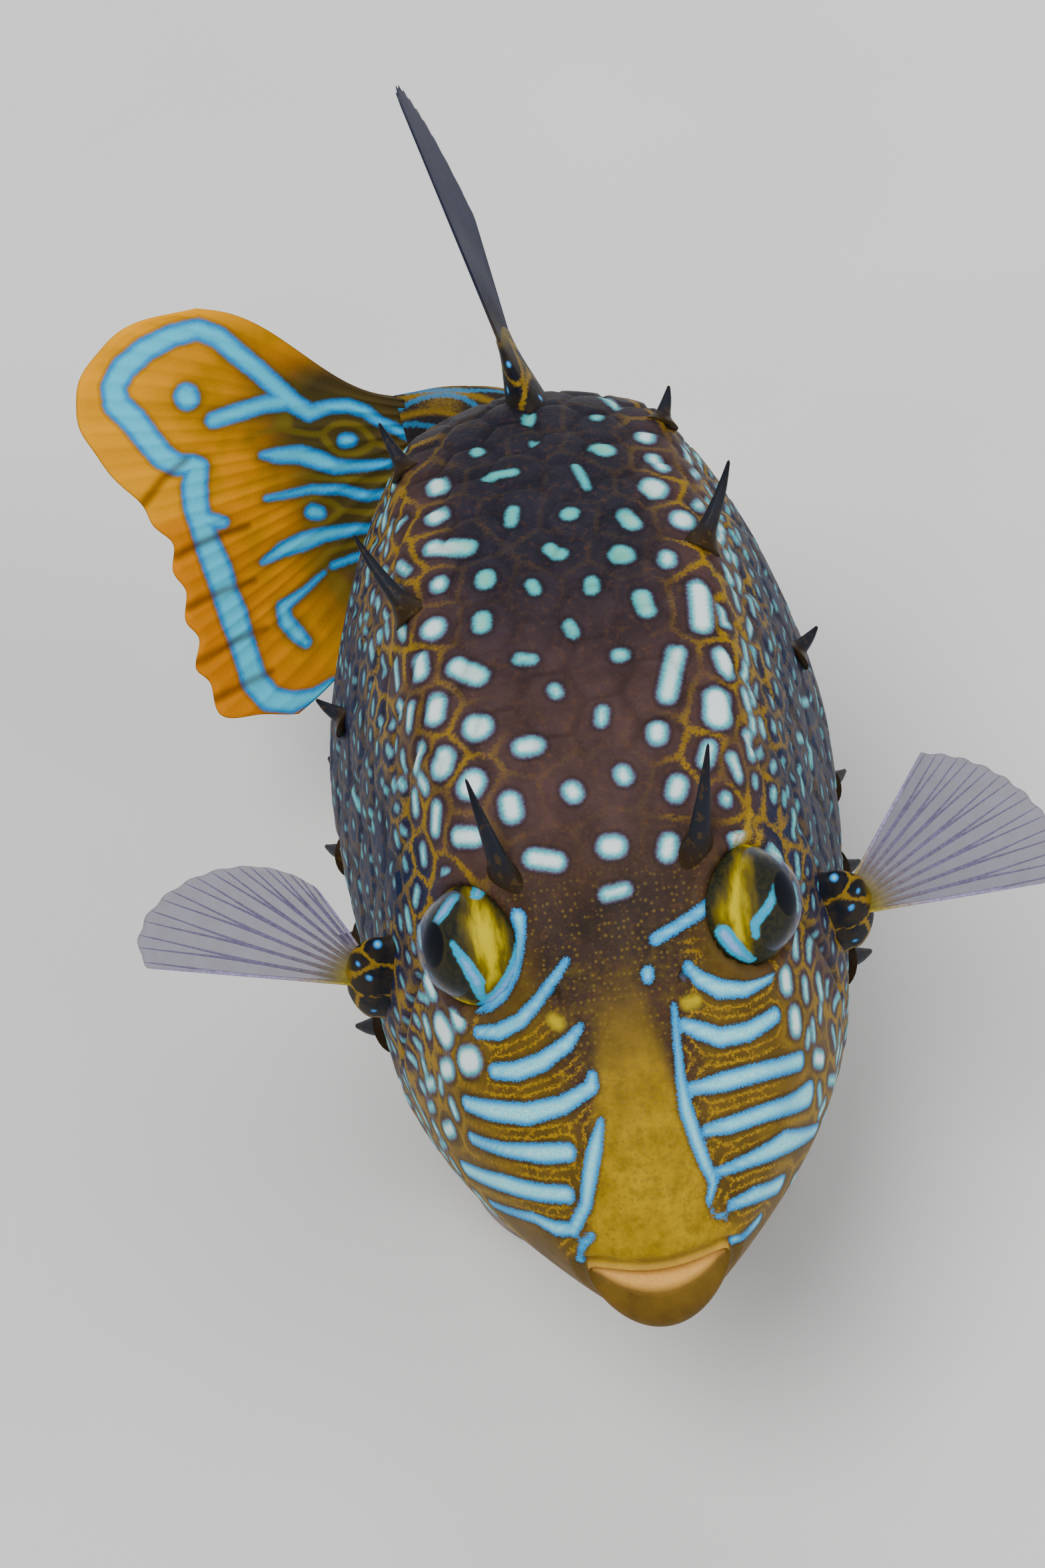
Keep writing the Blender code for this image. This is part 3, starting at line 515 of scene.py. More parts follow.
BACK_SPOTS = (
    (620, 90, 42, 9, -8), (585, 168, 18, 18, 0), (775, 163, 20, 12, 20), (812, 120, 32, 13, 35),
    (600, 235, 16, 8, 0), (443, 262, 16, 14, -40), (790, 253, 32, 20, 35), (910, 220, 32, 18, 10),
    (505, 325, 54, 12, -10), (732, 328, 40, 11, 62), (945, 292, 34, 14, 48), (1048, 322, 28, 9, 60),
    (332, 357, 30, 23, -20), (933, 362, 42, 26, 30), (1060, 410, 32, 11, 55), (330, 440, 40, 22, -35),
    (538, 440, 28, 17, -80), (700, 435, 23, 19, 20), (865, 450, 35, 22, 55), (1015, 452, 34, 25, 5),
    (1088, 488, 19, 11, -70), (228, 460, 25, 8, -65), (365, 528, 74, 20, 0), (660, 540, 34, 18, 30),
    (845, 548, 37, 24, 20), (972, 560, 23, 23, 0), (235, 585, 24, 14, 40), (335, 630, 22, 20, 0),
    (465, 618, 27, 27, 0), (598, 640, 24, 17, 60), (762, 635, 26, 21, 90), (225, 670, 28, 13, 60),
    (908, 685, 41, 25, 70), (1065, 690, 74, 29, 85), (1158, 555, 32, 9, 75), (320, 755, 33, 29, 0),
    (455, 738, 31, 25, 90), (703, 755, 27, 17, 60), (1130, 720, 34, 13, 75), (1160, 670, 36, 9, 75),
    (1205, 690, 32, 8, 75), (230, 750, 34, 11, 80), (190, 740, 38, 7, 80), (135, 720, 20, 6, -75),
    (575, 840, 37, 14, 5), (842, 828, 26, 19, -20), (415, 875, 58, 29, 25), (282, 860, 40, 20, 85),
    (985, 880, 84, 27, -78), (1133, 850, 46, 21, 70), (1187, 820, 34, 9, 80), (1215, 830, 32, 7, 80),
    (660, 930, 22, 18, 60), (325, 980, 46, 27, -85), (256, 1000, 44, 13, -85), (220, 880, 44, 9, 85),
    (150, 815, 24, 9, 80), (180, 860, 27, 7, 85), (790, 1000, 30, 17, -85), (443, 1030, 42, 37, 0),
    (945, 1045, 34, 28, 90), (1113, 975, 60, 38, 90), (1190, 955, 38, 13, 75), (585, 1083, 46, 25, -12),
    (345, 1130, 46, 28, -80), (278, 1115, 48, 13, -80), (1085, 1105, 40, 22, -75), (1200, 1080, 46, 15, 80),
    (850, 1162, 29, 24, 60), (425, 1190, 45, 34, -60), (708, 1210, 31, 27, 60), (1000, 1200, 39, 28, -75),
    (1165, 1140, 46, 13, 70), (272, 1240, 40, 11, 85), (535, 1253, 45, 31, 80), (325, 1285, 52, 15, -85),
    (1138, 1230, 22, 17, 90), (410, 1335, 48, 28, 0), (290, 1385, 34, 9, 85), (818, 1362, 42, 32, 0),
    (975, 1365, 41, 26, -80), (1162, 1355, 25, 24, 0), (630, 1400, 60, 27, 8), (1260, 1395, 28, 11, 50),
    (828, 1490, 46, 19, -15), (105, 1230, 32, 9, 70), (150, 1290, 32, 8, 75), (238, 1125, 32, 8, 85),
    (1325, 1300, 44, 10, 85), (1345, 1180, 44, 9, 85), (1340, 1060, 36, 9, 85), (1370, 1100, 44, 9, 85),
    (1355, 960, 34, 8, 70),
)
FACE_SPOTS = (
    (310, 445, 44, 16, 70), (388, 535, 38, 20, 70), (345, 570, 48, 24, 60), (300, 560, 34, 11, 75),
    (418, 655, 42, 33, 80), (355, 680, 40, 19, 70), (310, 720, 34, 13, 70), (375, 790, 34, 11, 70),
    (362, 848, 36, 15, 65), (312, 785, 26, 9, 70), (345, 890, 22, 7, 65), (270, 195, 30, 9, -80),
    (247, 260, 38, 9, 80), (282, 310, 34, 9, 85), (355, 130, 14, 12, 0), (1305, 430, 44, 18, 85),
    (1360, 455, 38, 11, 85), (1400, 450, 42, 12, 80), (1332, 545, 46, 18, 85), (1382, 570, 34, 9, 85),
    (1398, 650, 34, 16, -75), (1435, 710, 34, 9, 80), (1440, 590, 32, 8, 80), (1400, 750, 30, 9, 85),
    (1330, 330, 44, 11, 85), (1368, 345, 36, 9, 85), (1333, 200, 44, 9, 80), (1338, 110, 38, 8, 85),
    (1020, 420, 5, 5, 0),
)
CHEEK_STRIPES = (
    ((690, 375, 8), (660, 420, 12), (610, 490, 15), (560, 545, 19), (500, 575, 20), (442, 575, 16)),
    ((730, 560, 9), (690, 610, 19), (620, 660, 23), (550, 685, 24), (488, 685, 19)),
    ((762, 695, 11), (760, 730, 18), (680, 780, 23), (580, 805, 28), (480, 795, 24), (410, 775, 15)),
    ((694, 912, 24), (620, 915, 25), (520, 905, 16), (425, 872, 9)),
    ((692, 1030, 22), (620, 1025, 21), (520, 1000, 17), (408, 958, 13)),
    (
        (787, 825, 8), (770, 900, 19), (755, 980, 19), (745, 1060, 15), (710, 1128, 17), (660, 1125, 16),
        (600, 1095, 9), (480, 1055, 6),
    ),
    ((762, 1147, 9), (738, 1168, 9), (728, 1212, 9)),
    ((940, 315, 15), (1000, 280, 14), (1070, 235, 14), (1130, 180, 11)),
    ((918, 408, 16), (918, 424, 14)),
    ((1028, 390, 12), (1060, 425, 19), (1120, 455, 24), (1190, 455, 20), (1255, 418, 16)),
    ((1020, 555, 16), (1060, 570, 21), (1120, 590, 24), (1200, 575, 23), (1275, 528, 18)),
    ((1040, 735, 15), (1130, 715, 24), (1220, 690, 23), (1345, 655, 20)),
    ((1085, 850, 15), (1150, 835, 21), (1250, 800, 20), (1370, 748, 19)),
    ((1105, 972, 11), (1200, 935, 16), (1300, 885, 18), (1390, 848, 17)),
    ((1152, 1060, 12), (1220, 1030, 15), (1290, 1000, 14), (1350, 960, 11)),
    (
        (992, 500, 6), (1000, 600, 9), (1010, 700, 11), (1025, 790, 17), (1055, 880, 17), (1082, 950, 15),
        (1103, 992, 11), (1090, 1050, 7),
    ),
    ((1100, 1083, 6), (1138, 1094, 6)),
    ((1160, 1155, 9), (1230, 1100, 9)),
)
LID_STRIPES = (
    (
        (556, 258, 20), (562, 300, 12), (556, 345, 13), (540, 400, 17), (512, 452, 19), (480, 486, 14),
        (448, 498, 6),
    ),
)
NOSTRILS = (((652, 540, 14), (668, 552, 16)), ((1030, 495, 15), (1055, 488, 13)))
TAIL_STROKES = (
    (
        (1255, 565, 14), (1200, 512, 20), (1140, 482, 16), (1090, 460, 18), (1040, 425, 22), (980, 405, 24),
        (920, 410, 24), (850, 430, 28), (800, 400, 33), (740, 345, 34), (680, 290, 34), (600, 225, 36),
        (540, 172, 37), (470, 145, 36), (380, 168, 38), (290, 215, 42), (215, 280, 44), (182, 340, 42),
        (192, 400, 46), (250, 455, 47), (300, 520, 44), (350, 580, 43), (400, 607, 38), (450, 607, 35),
        (470, 618, 38), (458, 680, 44), (464, 750, 44), (482, 810, 40), (508, 890, 44), (540, 965, 48),
        (562, 1040, 45), (592, 1120, 49), (614, 1190, 44), (640, 1270, 43), (664, 1345, 46), (715, 1405, 44),
        (790, 1418, 36), (870, 1392, 28), (930, 1350, 20),
    ),
    ((490, 795, 32), (556, 803, 22)),
    ((522, 455, 28), (600, 430, 31), (690, 402, 29), (760, 395, 28)),
    ((430, 370, 42), (434, 380, 42)),
    (
        (690, 575, 12), (740, 576, 26), (820, 572, 31), (880, 590, 33), (940, 615, 25), (1030, 610, 19),
        (1120, 605, 13),
    ),
    ((705, 722, 10), (760, 712, 13), (860, 690, 15), (960, 692, 17), (1050, 715, 17), (1130, 700, 13)),
    ((692, 938, 11), (760, 895, 26), (830, 870, 31), (900, 845, 25), (1000, 828, 19), (1100, 820, 13)),
    ((932, 950, 13), (1000, 925, 13), (1060, 905, 9)),
    ((900, 975, 8), (830, 1040, 13), (760, 1090, 21), (770, 1140, 27), (810, 1185, 28), (838, 1212, 20)),
    ((972, 525, 24), (990, 525, 22)),
    ((862, 766, 28), (884, 772, 24)),
)
# Painted fold shadows: dark lines across the tail's margin where its folds shade it
TAIL_FOLD_SHADOWS = (
    ((430, 590, 3), (350, 655, 6), (312, 704, 8), (296, 725, 8), (284, 740, 8)),
    ((640, 815, 3), (540, 848, 5), (460, 882, 7), (420, 903, 8), (395, 917, 8), (375, 929, 8)),
    ((660, 1000, 3), (560, 1035, 5), (480, 1072, 7), (440, 1092, 8), (420, 1101, 8), (405, 1108, 8)),
    ((700, 1165, 3), (600, 1205, 5), (520, 1251, 7), (490, 1268, 8), (474, 1277, 8), (464, 1283, 8)),
    ((720, 1310, 3), (640, 1350, 5), (560, 1390, 7), (530, 1405, 8), (515, 1413, 8), (505, 1418, 8)),
)
LID_GOLD = (
    ((1206, -37, 5), (1192, 20, 10), (1182, 70, 16), (1178, 112, 20)),
    ((1236, 10, 3), (1216, 60, 6), (1206, 108, 8)),
    ((1158, 30, 3), (1160, 70, 6), (1164, 108, 9)),
)
EYE_GOLD = {
    -1: (
        (
            (414, 170, 10), (430, 212, 26), (446, 250, 48), (464, 310, 62), (478, 366, 52), (482, 414, 36),
            (464, 484, 10),
        ),
    ),
    1: (
        (
            (1186, 60, 14), (1182, 110, 28), (1172, 170, 40), (1164, 240, 52), (1180, 300, 40),
            (1204, 356, 12),
        ),
    ),
}
EYE_CYAN = {
    -1: (
        ((372, 328, 8), (410, 385, 17), (438, 432, 19), (452, 482, 9)),
        ((368, 205, 13), (345, 238, 14), (322, 270, 9)),
        ((462, 158, 16), (440, 190, 13)),
        ((558, 330, 11), (542, 398, 15), (514, 450, 17), (482, 484, 13), (450, 498, 6)),
    ),
    1: (
        ((1130, 298, 22), (1165, 342, 20), (1208, 374, 9)),
        ((1280, 170, 11), (1255, 225, 13), (1218, 270, 13), (1222, 308, 9)),
    ),
}

# Blue spots on the fins' fleshy parts, where no view shows them: turn, height and radius
FOOT_SPOTS = ((0.16, 0.52, 0.42), (0.36, 0.30, 0.36), (0.64, 0.42, 0.4), (0.86, 0.66, 0.34), (0.5, 0.7, 0.3))
LOBE_SPOTS = (
    (0.05, 0.35, 0.34), (0.22, 0.42, 0.4), (0.4, 0.34, 0.3), (0.55, 0.5, 0.36), (0.72, 0.36, 0.4),
    (0.88, 0.48, 0.32), (0.15, 0.7, 0.26), (0.62, 0.72, 0.26),
)

# How the markings lie where no view shows them
STRIPE_GROW = 1.1
SPOT_SEED = 11
SPOT_PITCH = 2.6
SPOT_CLEAR = 0.95
SEEN_SLOPE = -0.05
SCATTER_START = 9.0
SCATTER_LEAST = 6
SCATTER_JITTER = 0.32
SCATTER_RADII = (0.27, 0.62)
STALK_BANDS = 9
STALK_BAND_HALF = 0.24
# Marks on the hidden side of an eyeball: their turns, the bend and lean of their points, and half widths
HIDDEN_GOLD = ((100, 180, 260), ((0, 34), (4, 50), (12, 66), (18, 80)), (0.3, 1.1, 1.4, 0.8))
HIDDEN_CYAN = ((130, 152, 215, 238), ((0, 32), (9, 46), (4, 60), (12, 76)), (0.16, 0.32, 0.3, 0.34))

# How finely the skin is divided
SKIN_ROUND = 336
LIP_ROWS = 26
SHELL_ROWS = 210
STALK_ROWS = 40
SKIN_ROWS = LIP_ROWS + SHELL_ROWS + STALK_ROWS + 1

# Relief of the skin, in millimetres: lids and sockets, plates, spots, gills, nostrils and lip crease
LID_RISE = 0.75
LID_REACH = 3.5
LID_DEPTH = 4.5
LID_AWAY = 0.35
LID_HALF = 0.75
LID_LEAN = 0.35
SOCKET_FLOOR = -1.0
SOCKET_GAP = 0.05
SOCKET_SLOPE = 0.9
PLATE_SLOPE = 0.8
SPOT_RISE = 0.05
GILL_DEPTH = 0.8
GILL_HALF = 0.5
GILL_FOLD_AHEAD = 1.3
GILL_FOLD_RISE = 0.3
NOSTRIL_RISE = 0.35
NOSTRIL_DEPTH = 0.9
LIP_CREASE_DEPTH = 0.16
# Half widths of the golden snout at its stations
SNOUT_S = (3.0, 8.0, 13.0, 20.0)
SNOUT_HALF = (6.0, 5.0, 3.5, 2.1)

# Eyes: the cornea is clear in the middle, and a pale rim of painted reflection is laid on where the camera's
# view grazes it
PUPIL_RADIUS = 2.1
CORNEA_RADIUS = 5.15
CORNEA_SHIFT = 1.35
CORNEA_SUNK = 0.15
CORNEA_CLEAR = 0.02
CORNEA_EDGE = 0.55
REFLECTION_FACING = 0.22
REFLECTION_SPREAD = 0.24

# Horns and spines: a taper is shares of the length and the widths there
HORN_SUNK = 0.5
HORN_SPREAD = 0.11
HORN_TAPER = ((0, 0.08, 0.2, 0.45, 0.72, 0.97, 1), (1.5, 1.15, 0.86, 0.62, 0.37, 0.12, 0.0))
SPINE_SUNK = 0.18
SPINE_TAPER = ((-0.18, 0, 0.1, 0.25, 0.65, 0.97, 1), (2.2, 1.4, 0.98, 0.76, 0.46, 0.16, 0))
SPINE_BOW = 0.05

# Fins, in millimetres. Thicknesses are half ones: at the root, of the web, and of the rays on it
TAIL_SUNK = 1.2
TAIL_THICKNESS = (0.8, 0.16, 0.2)
TAIL_NOTCHES = (0.03, 0.006)
SOFT_WEB = (0.1, 0.06)
SOFT_NOTCH = 0.012
WEB_ROOT = (0.06, 0.26)
RAY_FORK = 0.9
RAY_TIP = 0.22
MEDIAN_SUNK = 0.6
MEDIAN_SLOPES = (44, 30)
MEDIAN_RAY_COUNT = 11
MEDIAN_RAY_HALF = 0.3
MEDIAN_ALPHA = 0.95
DORSAL_STATIONS = (85.5, 93.0)
DORSAL_LENGTH = 36.5
DORSAL_LEAN = math.radians(15)
DORSAL_CURL = 2.5
ANAL_STATIONS = (86.0, 93.0)
ANAL_LENGTH = 22.0
ANAL_LEAN = math.radians(6)
ANAL_CURL = 1.0
FOOT_SHARE = 0.22
FOOT_WIDTHS = (2.3, 0.55)
PECTORAL_RAY_COUNT = 10
PECTORAL_RAY_HALF = 0.22
PECTORAL_ALPHA = 0.45
PECTORAL_BOW = 1.0
LOBE_HALF_S = 1.8
LOBE_HALF_CORNER = 0.27
LOBE_HEIGHTS = (-0.8, 0.4, 1.4, 2.4, 3.1, 3.5)
LOBE_WIDTHS = (1.12, 1.0, 0.97, 0.78, 0.5, 0.0)
LOBE_LEAN = (0.0, 0.5, 0.35)

# Stand: how far its edges are rounded, the collar's radii with their heights over the base, and the waves to
# the metre of the wood's growth rings on each axis
BASE_CORNER = 13.0
BASE_RIM = 1.1
BASE_FOOT = 0.4
ROD_RADIUS = 1.6
ROD_SUNK = 0.5
COLLAR = ((0.0, -0.2), (3.4, -0.2), (3.4, 0.7), (3.1, 1.0), (2.1, 1.1), (1.9, 1.9), (ROD_RADIUS, 2.1))
WOOD_WAVES = (420.0, 42.0, 420.0)

# Colours: skin, markings, lips, tail, other fins, eyes, horns, stand and studio
SKIN_BROWN = tint(60, 45, 40)
BACK_BROWN = tint(73, 52, 50)
BACK_DARK = tint(34, 31, 44)
FLANK_INK = tint(12, 32, 66)
KEEL_GOLD = tint(92, 70, 20)
BELLY_PALE = tint(150, 136, 100)
BROW_BROWN = tint(68, 47, 32)
BROW_DARK = tint(46, 35, 34)
CHEEK_BROWN = tint(100, 76, 22)
SNOUT_GOLD = tint(168, 134, 12)
CHIN_BROWN = tint(104, 78, 22)
MOTTLE_BROWN = tint(116, 76, 36)
STAIN_OLIVE = tint(104, 84, 16)
STALK_DARK = tint(46, 38, 28)
STALK_BLUE = tint(36, 128, 176)

GOLD = tint(150, 116, 12)
GOLD_THREAD = tint(172, 132, 12)
LID_YELLOW = tint(178, 142, 12)
NOSTRIL_YELLOW = tint(196, 172, 14)
PALE_DOT = tint(128, 104, 34)
SHADE_BLACK = tint(14, 13, 20)
SPOT_RIM = tint(70, 184, 190)
SPOT_CORE = tint(232, 246, 246)
SPOT_MINT = tint(58, 190, 160)
SPOT_EDGE = tint(128, 116, 156)
STRIPE_SHADE = tint(40, 26, 16)
STRIPE_RIM = tint(10, 142, 208)
STRIPE_CORE = tint(100, 220, 238)
STRIPE_PALE = tint(196, 250, 250)

LIP_PEACH = tint(232, 174, 84)
LIP_CREASE_SHADE = tint(112, 66, 30)
MOUTH_GAP_SHADE = tint(132, 66, 34)

TAIL_BLUE = tint(8, 142, 220)
TAIL_SKY = tint(84, 222, 252)
TAIL_ORANGE = tint(255, 172, 0)
TAIL_SHADED_ORANGE = tint(236, 142, 0)
TAIL_AMBER = tint(232, 150, 0)
TAIL_OCHRE = tint(196, 136, 0)
TAIL_OLIVE = tint(96, 82, 18)
TAIL_SHADE = tint(104, 82, 16)
FOLD_SHADOW_BROWN = tint(92, 52, 4)
OLIVE_GOLD = tint(124, 108, 30)
ROOT_SLATE = tint(46, 52, 40)

MEDIAN_WEB = (tint(58, 48, 24), tint(34, 38, 66))
MEDIAN_RAYS = (tint(84, 66, 16), tint(24, 27, 50))
PECTORAL_WEB = (tint(132, 118, 30), tint(96, 90, 120))
PECTORAL_RAYS = (tint(184, 162, 10), tint(152, 144, 180))
FLESH_GREY = tint(52, 46, 48)
FLESH_DARK = tint(14, 18, 30)
FLESH_BROWN = tint(44, 36, 26)
FLESH_BLUE = tint(40, 140, 220)
FLESH_SKY = tint(130, 214, 244)
FLESH_GOLD = tint(120, 100, 18)

# The cornea's grey shows only at its rim, as a painted reflection
CORNEA_REFLECTION_GREY = tint(112, 124, 152)
IRIS_BROWN = tint(120, 100, 40)
IRIS_DARK = tint(24, 28, 24)
IRIS_OLIVE = tint(52, 48, 22)
IRIS_GOLD_RIM = tint(104, 88, 6)
IRIS_GOLD = tint(206, 184, 0)
IRIS_CYAN_RIM = tint(8, 168, 206)
IRIS_CYAN = tint(150, 184, 240)
PUPIL_RIM = tint(66, 56, 16)
PUPIL_BLACK = tint(2, 3, 6)

HORN_BROWN = tint(60, 56, 60)
HORN_ROOT = tint(50, 36, 18)
HORN_GREY = tint(34, 36, 44)
HORN_STREAK = tint(104, 78, 24)
HORN_BLACK = tint(14, 14, 20)

WOOD_BROWN = tint(84, 52, 34)
WOOD_DARK = tint(58, 34, 22)
WOOD_LIGHT = tint(112, 70, 44)
WOOD_PORE = tint(34, 20, 14)
STEEL_GREY = tint(186, 188, 190)
STEEL_DARK = tint(150, 152, 156)
STEEL_LIGHT = tint(208, 210, 212)
FLOOR_PALE = (0.72, 0.71, 0.69, 1.0)
FLOOR_LOW = (0.80, 0.79, 0.77, 1.0)
FLOOR_HIGH = (0.84, 0.83, 0.81, 1.0)
SKY_PALE = (0.86, 0.9, 0.96, 1.0)

# The middle of a noise's range, where it makes the edge of a marking waver
WAVER = (0.3, 0.7)

# Coats over a marking. Each fades between two distances outside the marking's edge, negative inside it, and
# has its density and colour
SPOT_SHADOW = ((0.10, 0.80, 0.62, SHADE_BLACK),)
SPOT_BLUE = ((-0.30, 0.24, 1.0, SPOT_RIM),)
SPOT_HEART = (-0.72, -0.10)
SPOT_HALO = (0.0, 0.42, 0.5)
STRIPE_COATS = ((0.08, 0.5, 0.55, STRIPE_SHADE), (-0.06, 0.16, 1.0, STRIPE_RIM))
STRIPE_HEART = (-0.72, 0.0)
NOSTRIL_COATS = ((-0.5, 0.5, 0.95, NOSTRIL_YELLOW),)
LID_COATS = ((-0.3, 0.3, 0.85, LID_YELLOW),)
LIP_CREASE_SHADE_COATS = ((0.1, 1.2, 0.45, LIP_CREASE_SHADE),)
MOUTH_GAP_SHADE_COATS = ((0.6, 3.0, 0.7, MOUTH_GAP_SHADE),)
TAIL_BLUE_COATS = ((-0.20, 0.26, 1.0, TAIL_BLUE), (-0.85, 0.0, 0.95, TAIL_SKY))
FOLD_SHADOW_COATS = ((-0.2, 0.7, 0.7, FOLD_SHADOW_BROWN),)
FLESH_WEB_COATS = ((0.06, 0.26, 0.85, GOLD),)
FLESH_SPOT_COATS = ((-0.1, 0.12, 1.0, FLESH_BLUE), (-0.32, -0.08, 1.0, FLESH_SKY))
IRIS_GOLD_COATS = ((-0.7, 0.7, 1.0, IRIS_GOLD_RIM), (-1.7, -0.3, 1.0, IRIS_GOLD))
IRIS_CYAN_COATS = ((-0.1, 0.16, 1.0, IRIS_CYAN_RIM), (-0.7, -0.2, 0.9, IRIS_CYAN))
PUPIL_COATS = (
    (PUPIL_RADIUS, PUPIL_RADIUS + 0.5, 0.5, PUPIL_RIM),
    (PUPIL_RADIUS - 0.1, PUPIL_RADIUS + 0.12, 1.0, PUPIL_BLACK),
)

# Gloss of each finish: its roughness and its specular level
SKIN_GLOSS = (0.55, 0.12)
TAIL_GLOSS = (0.6, 0.05)
WEB_GLOSS = (0.5, 0.15)
FLESH_GLOSS = (0.55, 0.12)
IRIS_GLOSS = (0.5, 0.08)
HORN_GLOSS = (0.45, 0.1)

# Studio: where the wide soft key comes from, then the fills' names, places, sizes and powers
KEY_FROM = (-0.30, -0.28, 0.9)
KEY_POWER = 2.3
KEY_SPREAD = math.radians(34)
FILLS = (
    ("fill_light", (0.55, -0.35, 0.5), 0.6, 2.4),
    ("back_light", (0.1, 0.6, 0.5), 0.5, 1.2),
)
WORLD_LIGHT = 0.4


def lip_place(corner, q):
    """Places over the lips, from the line of the mouth at q = 0 out to the snout at q = 5."""
    turn = corner * 2 * math.pi / CORNERS
    across = np.sin(turn)
    up = np.cos(turn)
    rings = []
    for half_width, upper, lower, s_up, s_low in LIP_RINGS:
        x = half_width * across
        bow = (x / LIP_WIDTH) ** 2
        s = mix((s_up + s_low) / 2, np.where(up > 0, s_up, s_low), np.abs(up)) + LIP_BOW * bow
        z = np.where(up > 0, upper, lower) * up + LIP_SMILE * bow + MOUTH_Z
        rings.append(np.stack([x, s, z], axis=-1))
    front = front_station(corner)
    rings.append(shell(front, corner))
    rings.append(shell(front + 1.2, corner))
    rings = np.stack(rings)
    left = np.clip(q.astype(int), 0, len(LIP_RINGS) - 1)
    t = (q - left)[..., None]
    pick = np.arange(len(corner))
    first = rings[left, pick]
    last = rings[left + 1, pick]
    before = rings[np.maximum(left - 1, 0), pick]
    after = rings[left + 2, pick]
    return spline(before, first, last, after, t)


def front_station(corner):
    """Where the snout starts behind the lips, at this corner of the section."""
    return HEAD_FRONT + LIP_BOW * (shell(2.0, corner)[:, 0] / LIP_WIDTH) ** 2


def stalk_place(corner, share):
    """Places on the tail stalk, share 0 at the shell and 1 at the tail fin."""
    middle, angle = stalk_path(mix(0.0, BEND * BEND_RADIUS + STALK_STRAIGHT, share))
    along, deep = stalk_axes(angle, TWIST * smooth(share))
    wide = np.cross(along, deep)
    first, waist, last = STALK_DEPTHS
    half_depth = mix(first, waist, np.sin(math.pi * np.minimum(share * 1.1, 1) / 2))
    half_depth += (last - waist) * np.maximum(share - 0.6, 0) / 0.4
    half_width = mix(*STALK_WIDTHS, smooth(share) ** 0.8)
    turn = corner * 2 * math.pi / CORNERS
    rise_part = (half_depth * np.cos(turn))[..., None] * deep
    return middle + rise_part + (half_width * np.sin(turn))[..., None] * wide


def skin_place(u, v):
    """The whole skin in one sheet: lips, head, trunk and stalk, closed at the mouth and at the tail fin."""
    corner = u * CORNERS
    row = v * SKIN_ROWS
    lips = lip_place(corner, np.clip(row / LIP_ROWS, 0, 1) * len(LIP_RINGS))
    front = front_station(corner)
    share = np.clip((row - LIP_ROWS) / SHELL_ROWS, 0, 1)
    body = shell(mix(front, SHELL_END, share), corner)
    share = np.clip((row - LIP_ROWS - SHELL_ROWS) / STALK_ROWS, 0, 1)
    stalk = stalk_place(corner, share)
    joint = smooth((row - LIP_ROWS - SHELL_ROWS + 8) / 16)[:, None]
    places = np.where((row < LIP_ROWS)[:, None], lips, mix(body, stalk, joint))
    places = np.where((row > LIP_ROWS + SHELL_ROWS + 8)[:, None], stalk, places)
    end = row > SKIN_ROWS - 0.5
    flat = stalk_place(np.where(np.cos(u * 2 * math.pi) > 0, 0.0, 4.0), np.ones_like(u))
    middle = stalk_place(np.full_like(u, 2.0), np.ones_like(u)) / 2
    middle += stalk_place(np.full_like(u, 6.0), np.ones_like(u)) / 2
    pinch = middle + (flat - middle) * np.abs(np.cos(u * 2 * math.pi))[:, None]
    return np.where(end[:, None], pinch, places)


def plate_edge(s, corner):
    """How far each place on the trunk lies inside the edge of its hexagonal plate, in millimetres."""
    start = seam_station(corner)
    share = np.clip((s - start) / (SHELL_END - start), 0, 1)
    lines = 2 * PLATE_COLUMNS * share ** (1 / 0.95)
    rows = corner / CORNERS * PLATE_ROWS
    best = np.full(len(s), 99.0)
    next_best = np.full(len(s), 99.0)
    for shift in (-1, 0, 1):
        row = np.floor(rows) + shift
        odd = np.mod(row, 2)
        base = 2 * np.floor((lines - 1 + odd) / 2) + 1 - odd
        for back in (0, 2):
            away = np.hypot((rows - row - 0.5) * PLATE_WIDE, (lines - base - back) * PLATE_LONG / 2)
            next_best = np.minimum(next_best, np.maximum(best, away))
            best = np.minimum(best, away)
    return (next_best - best) / 2


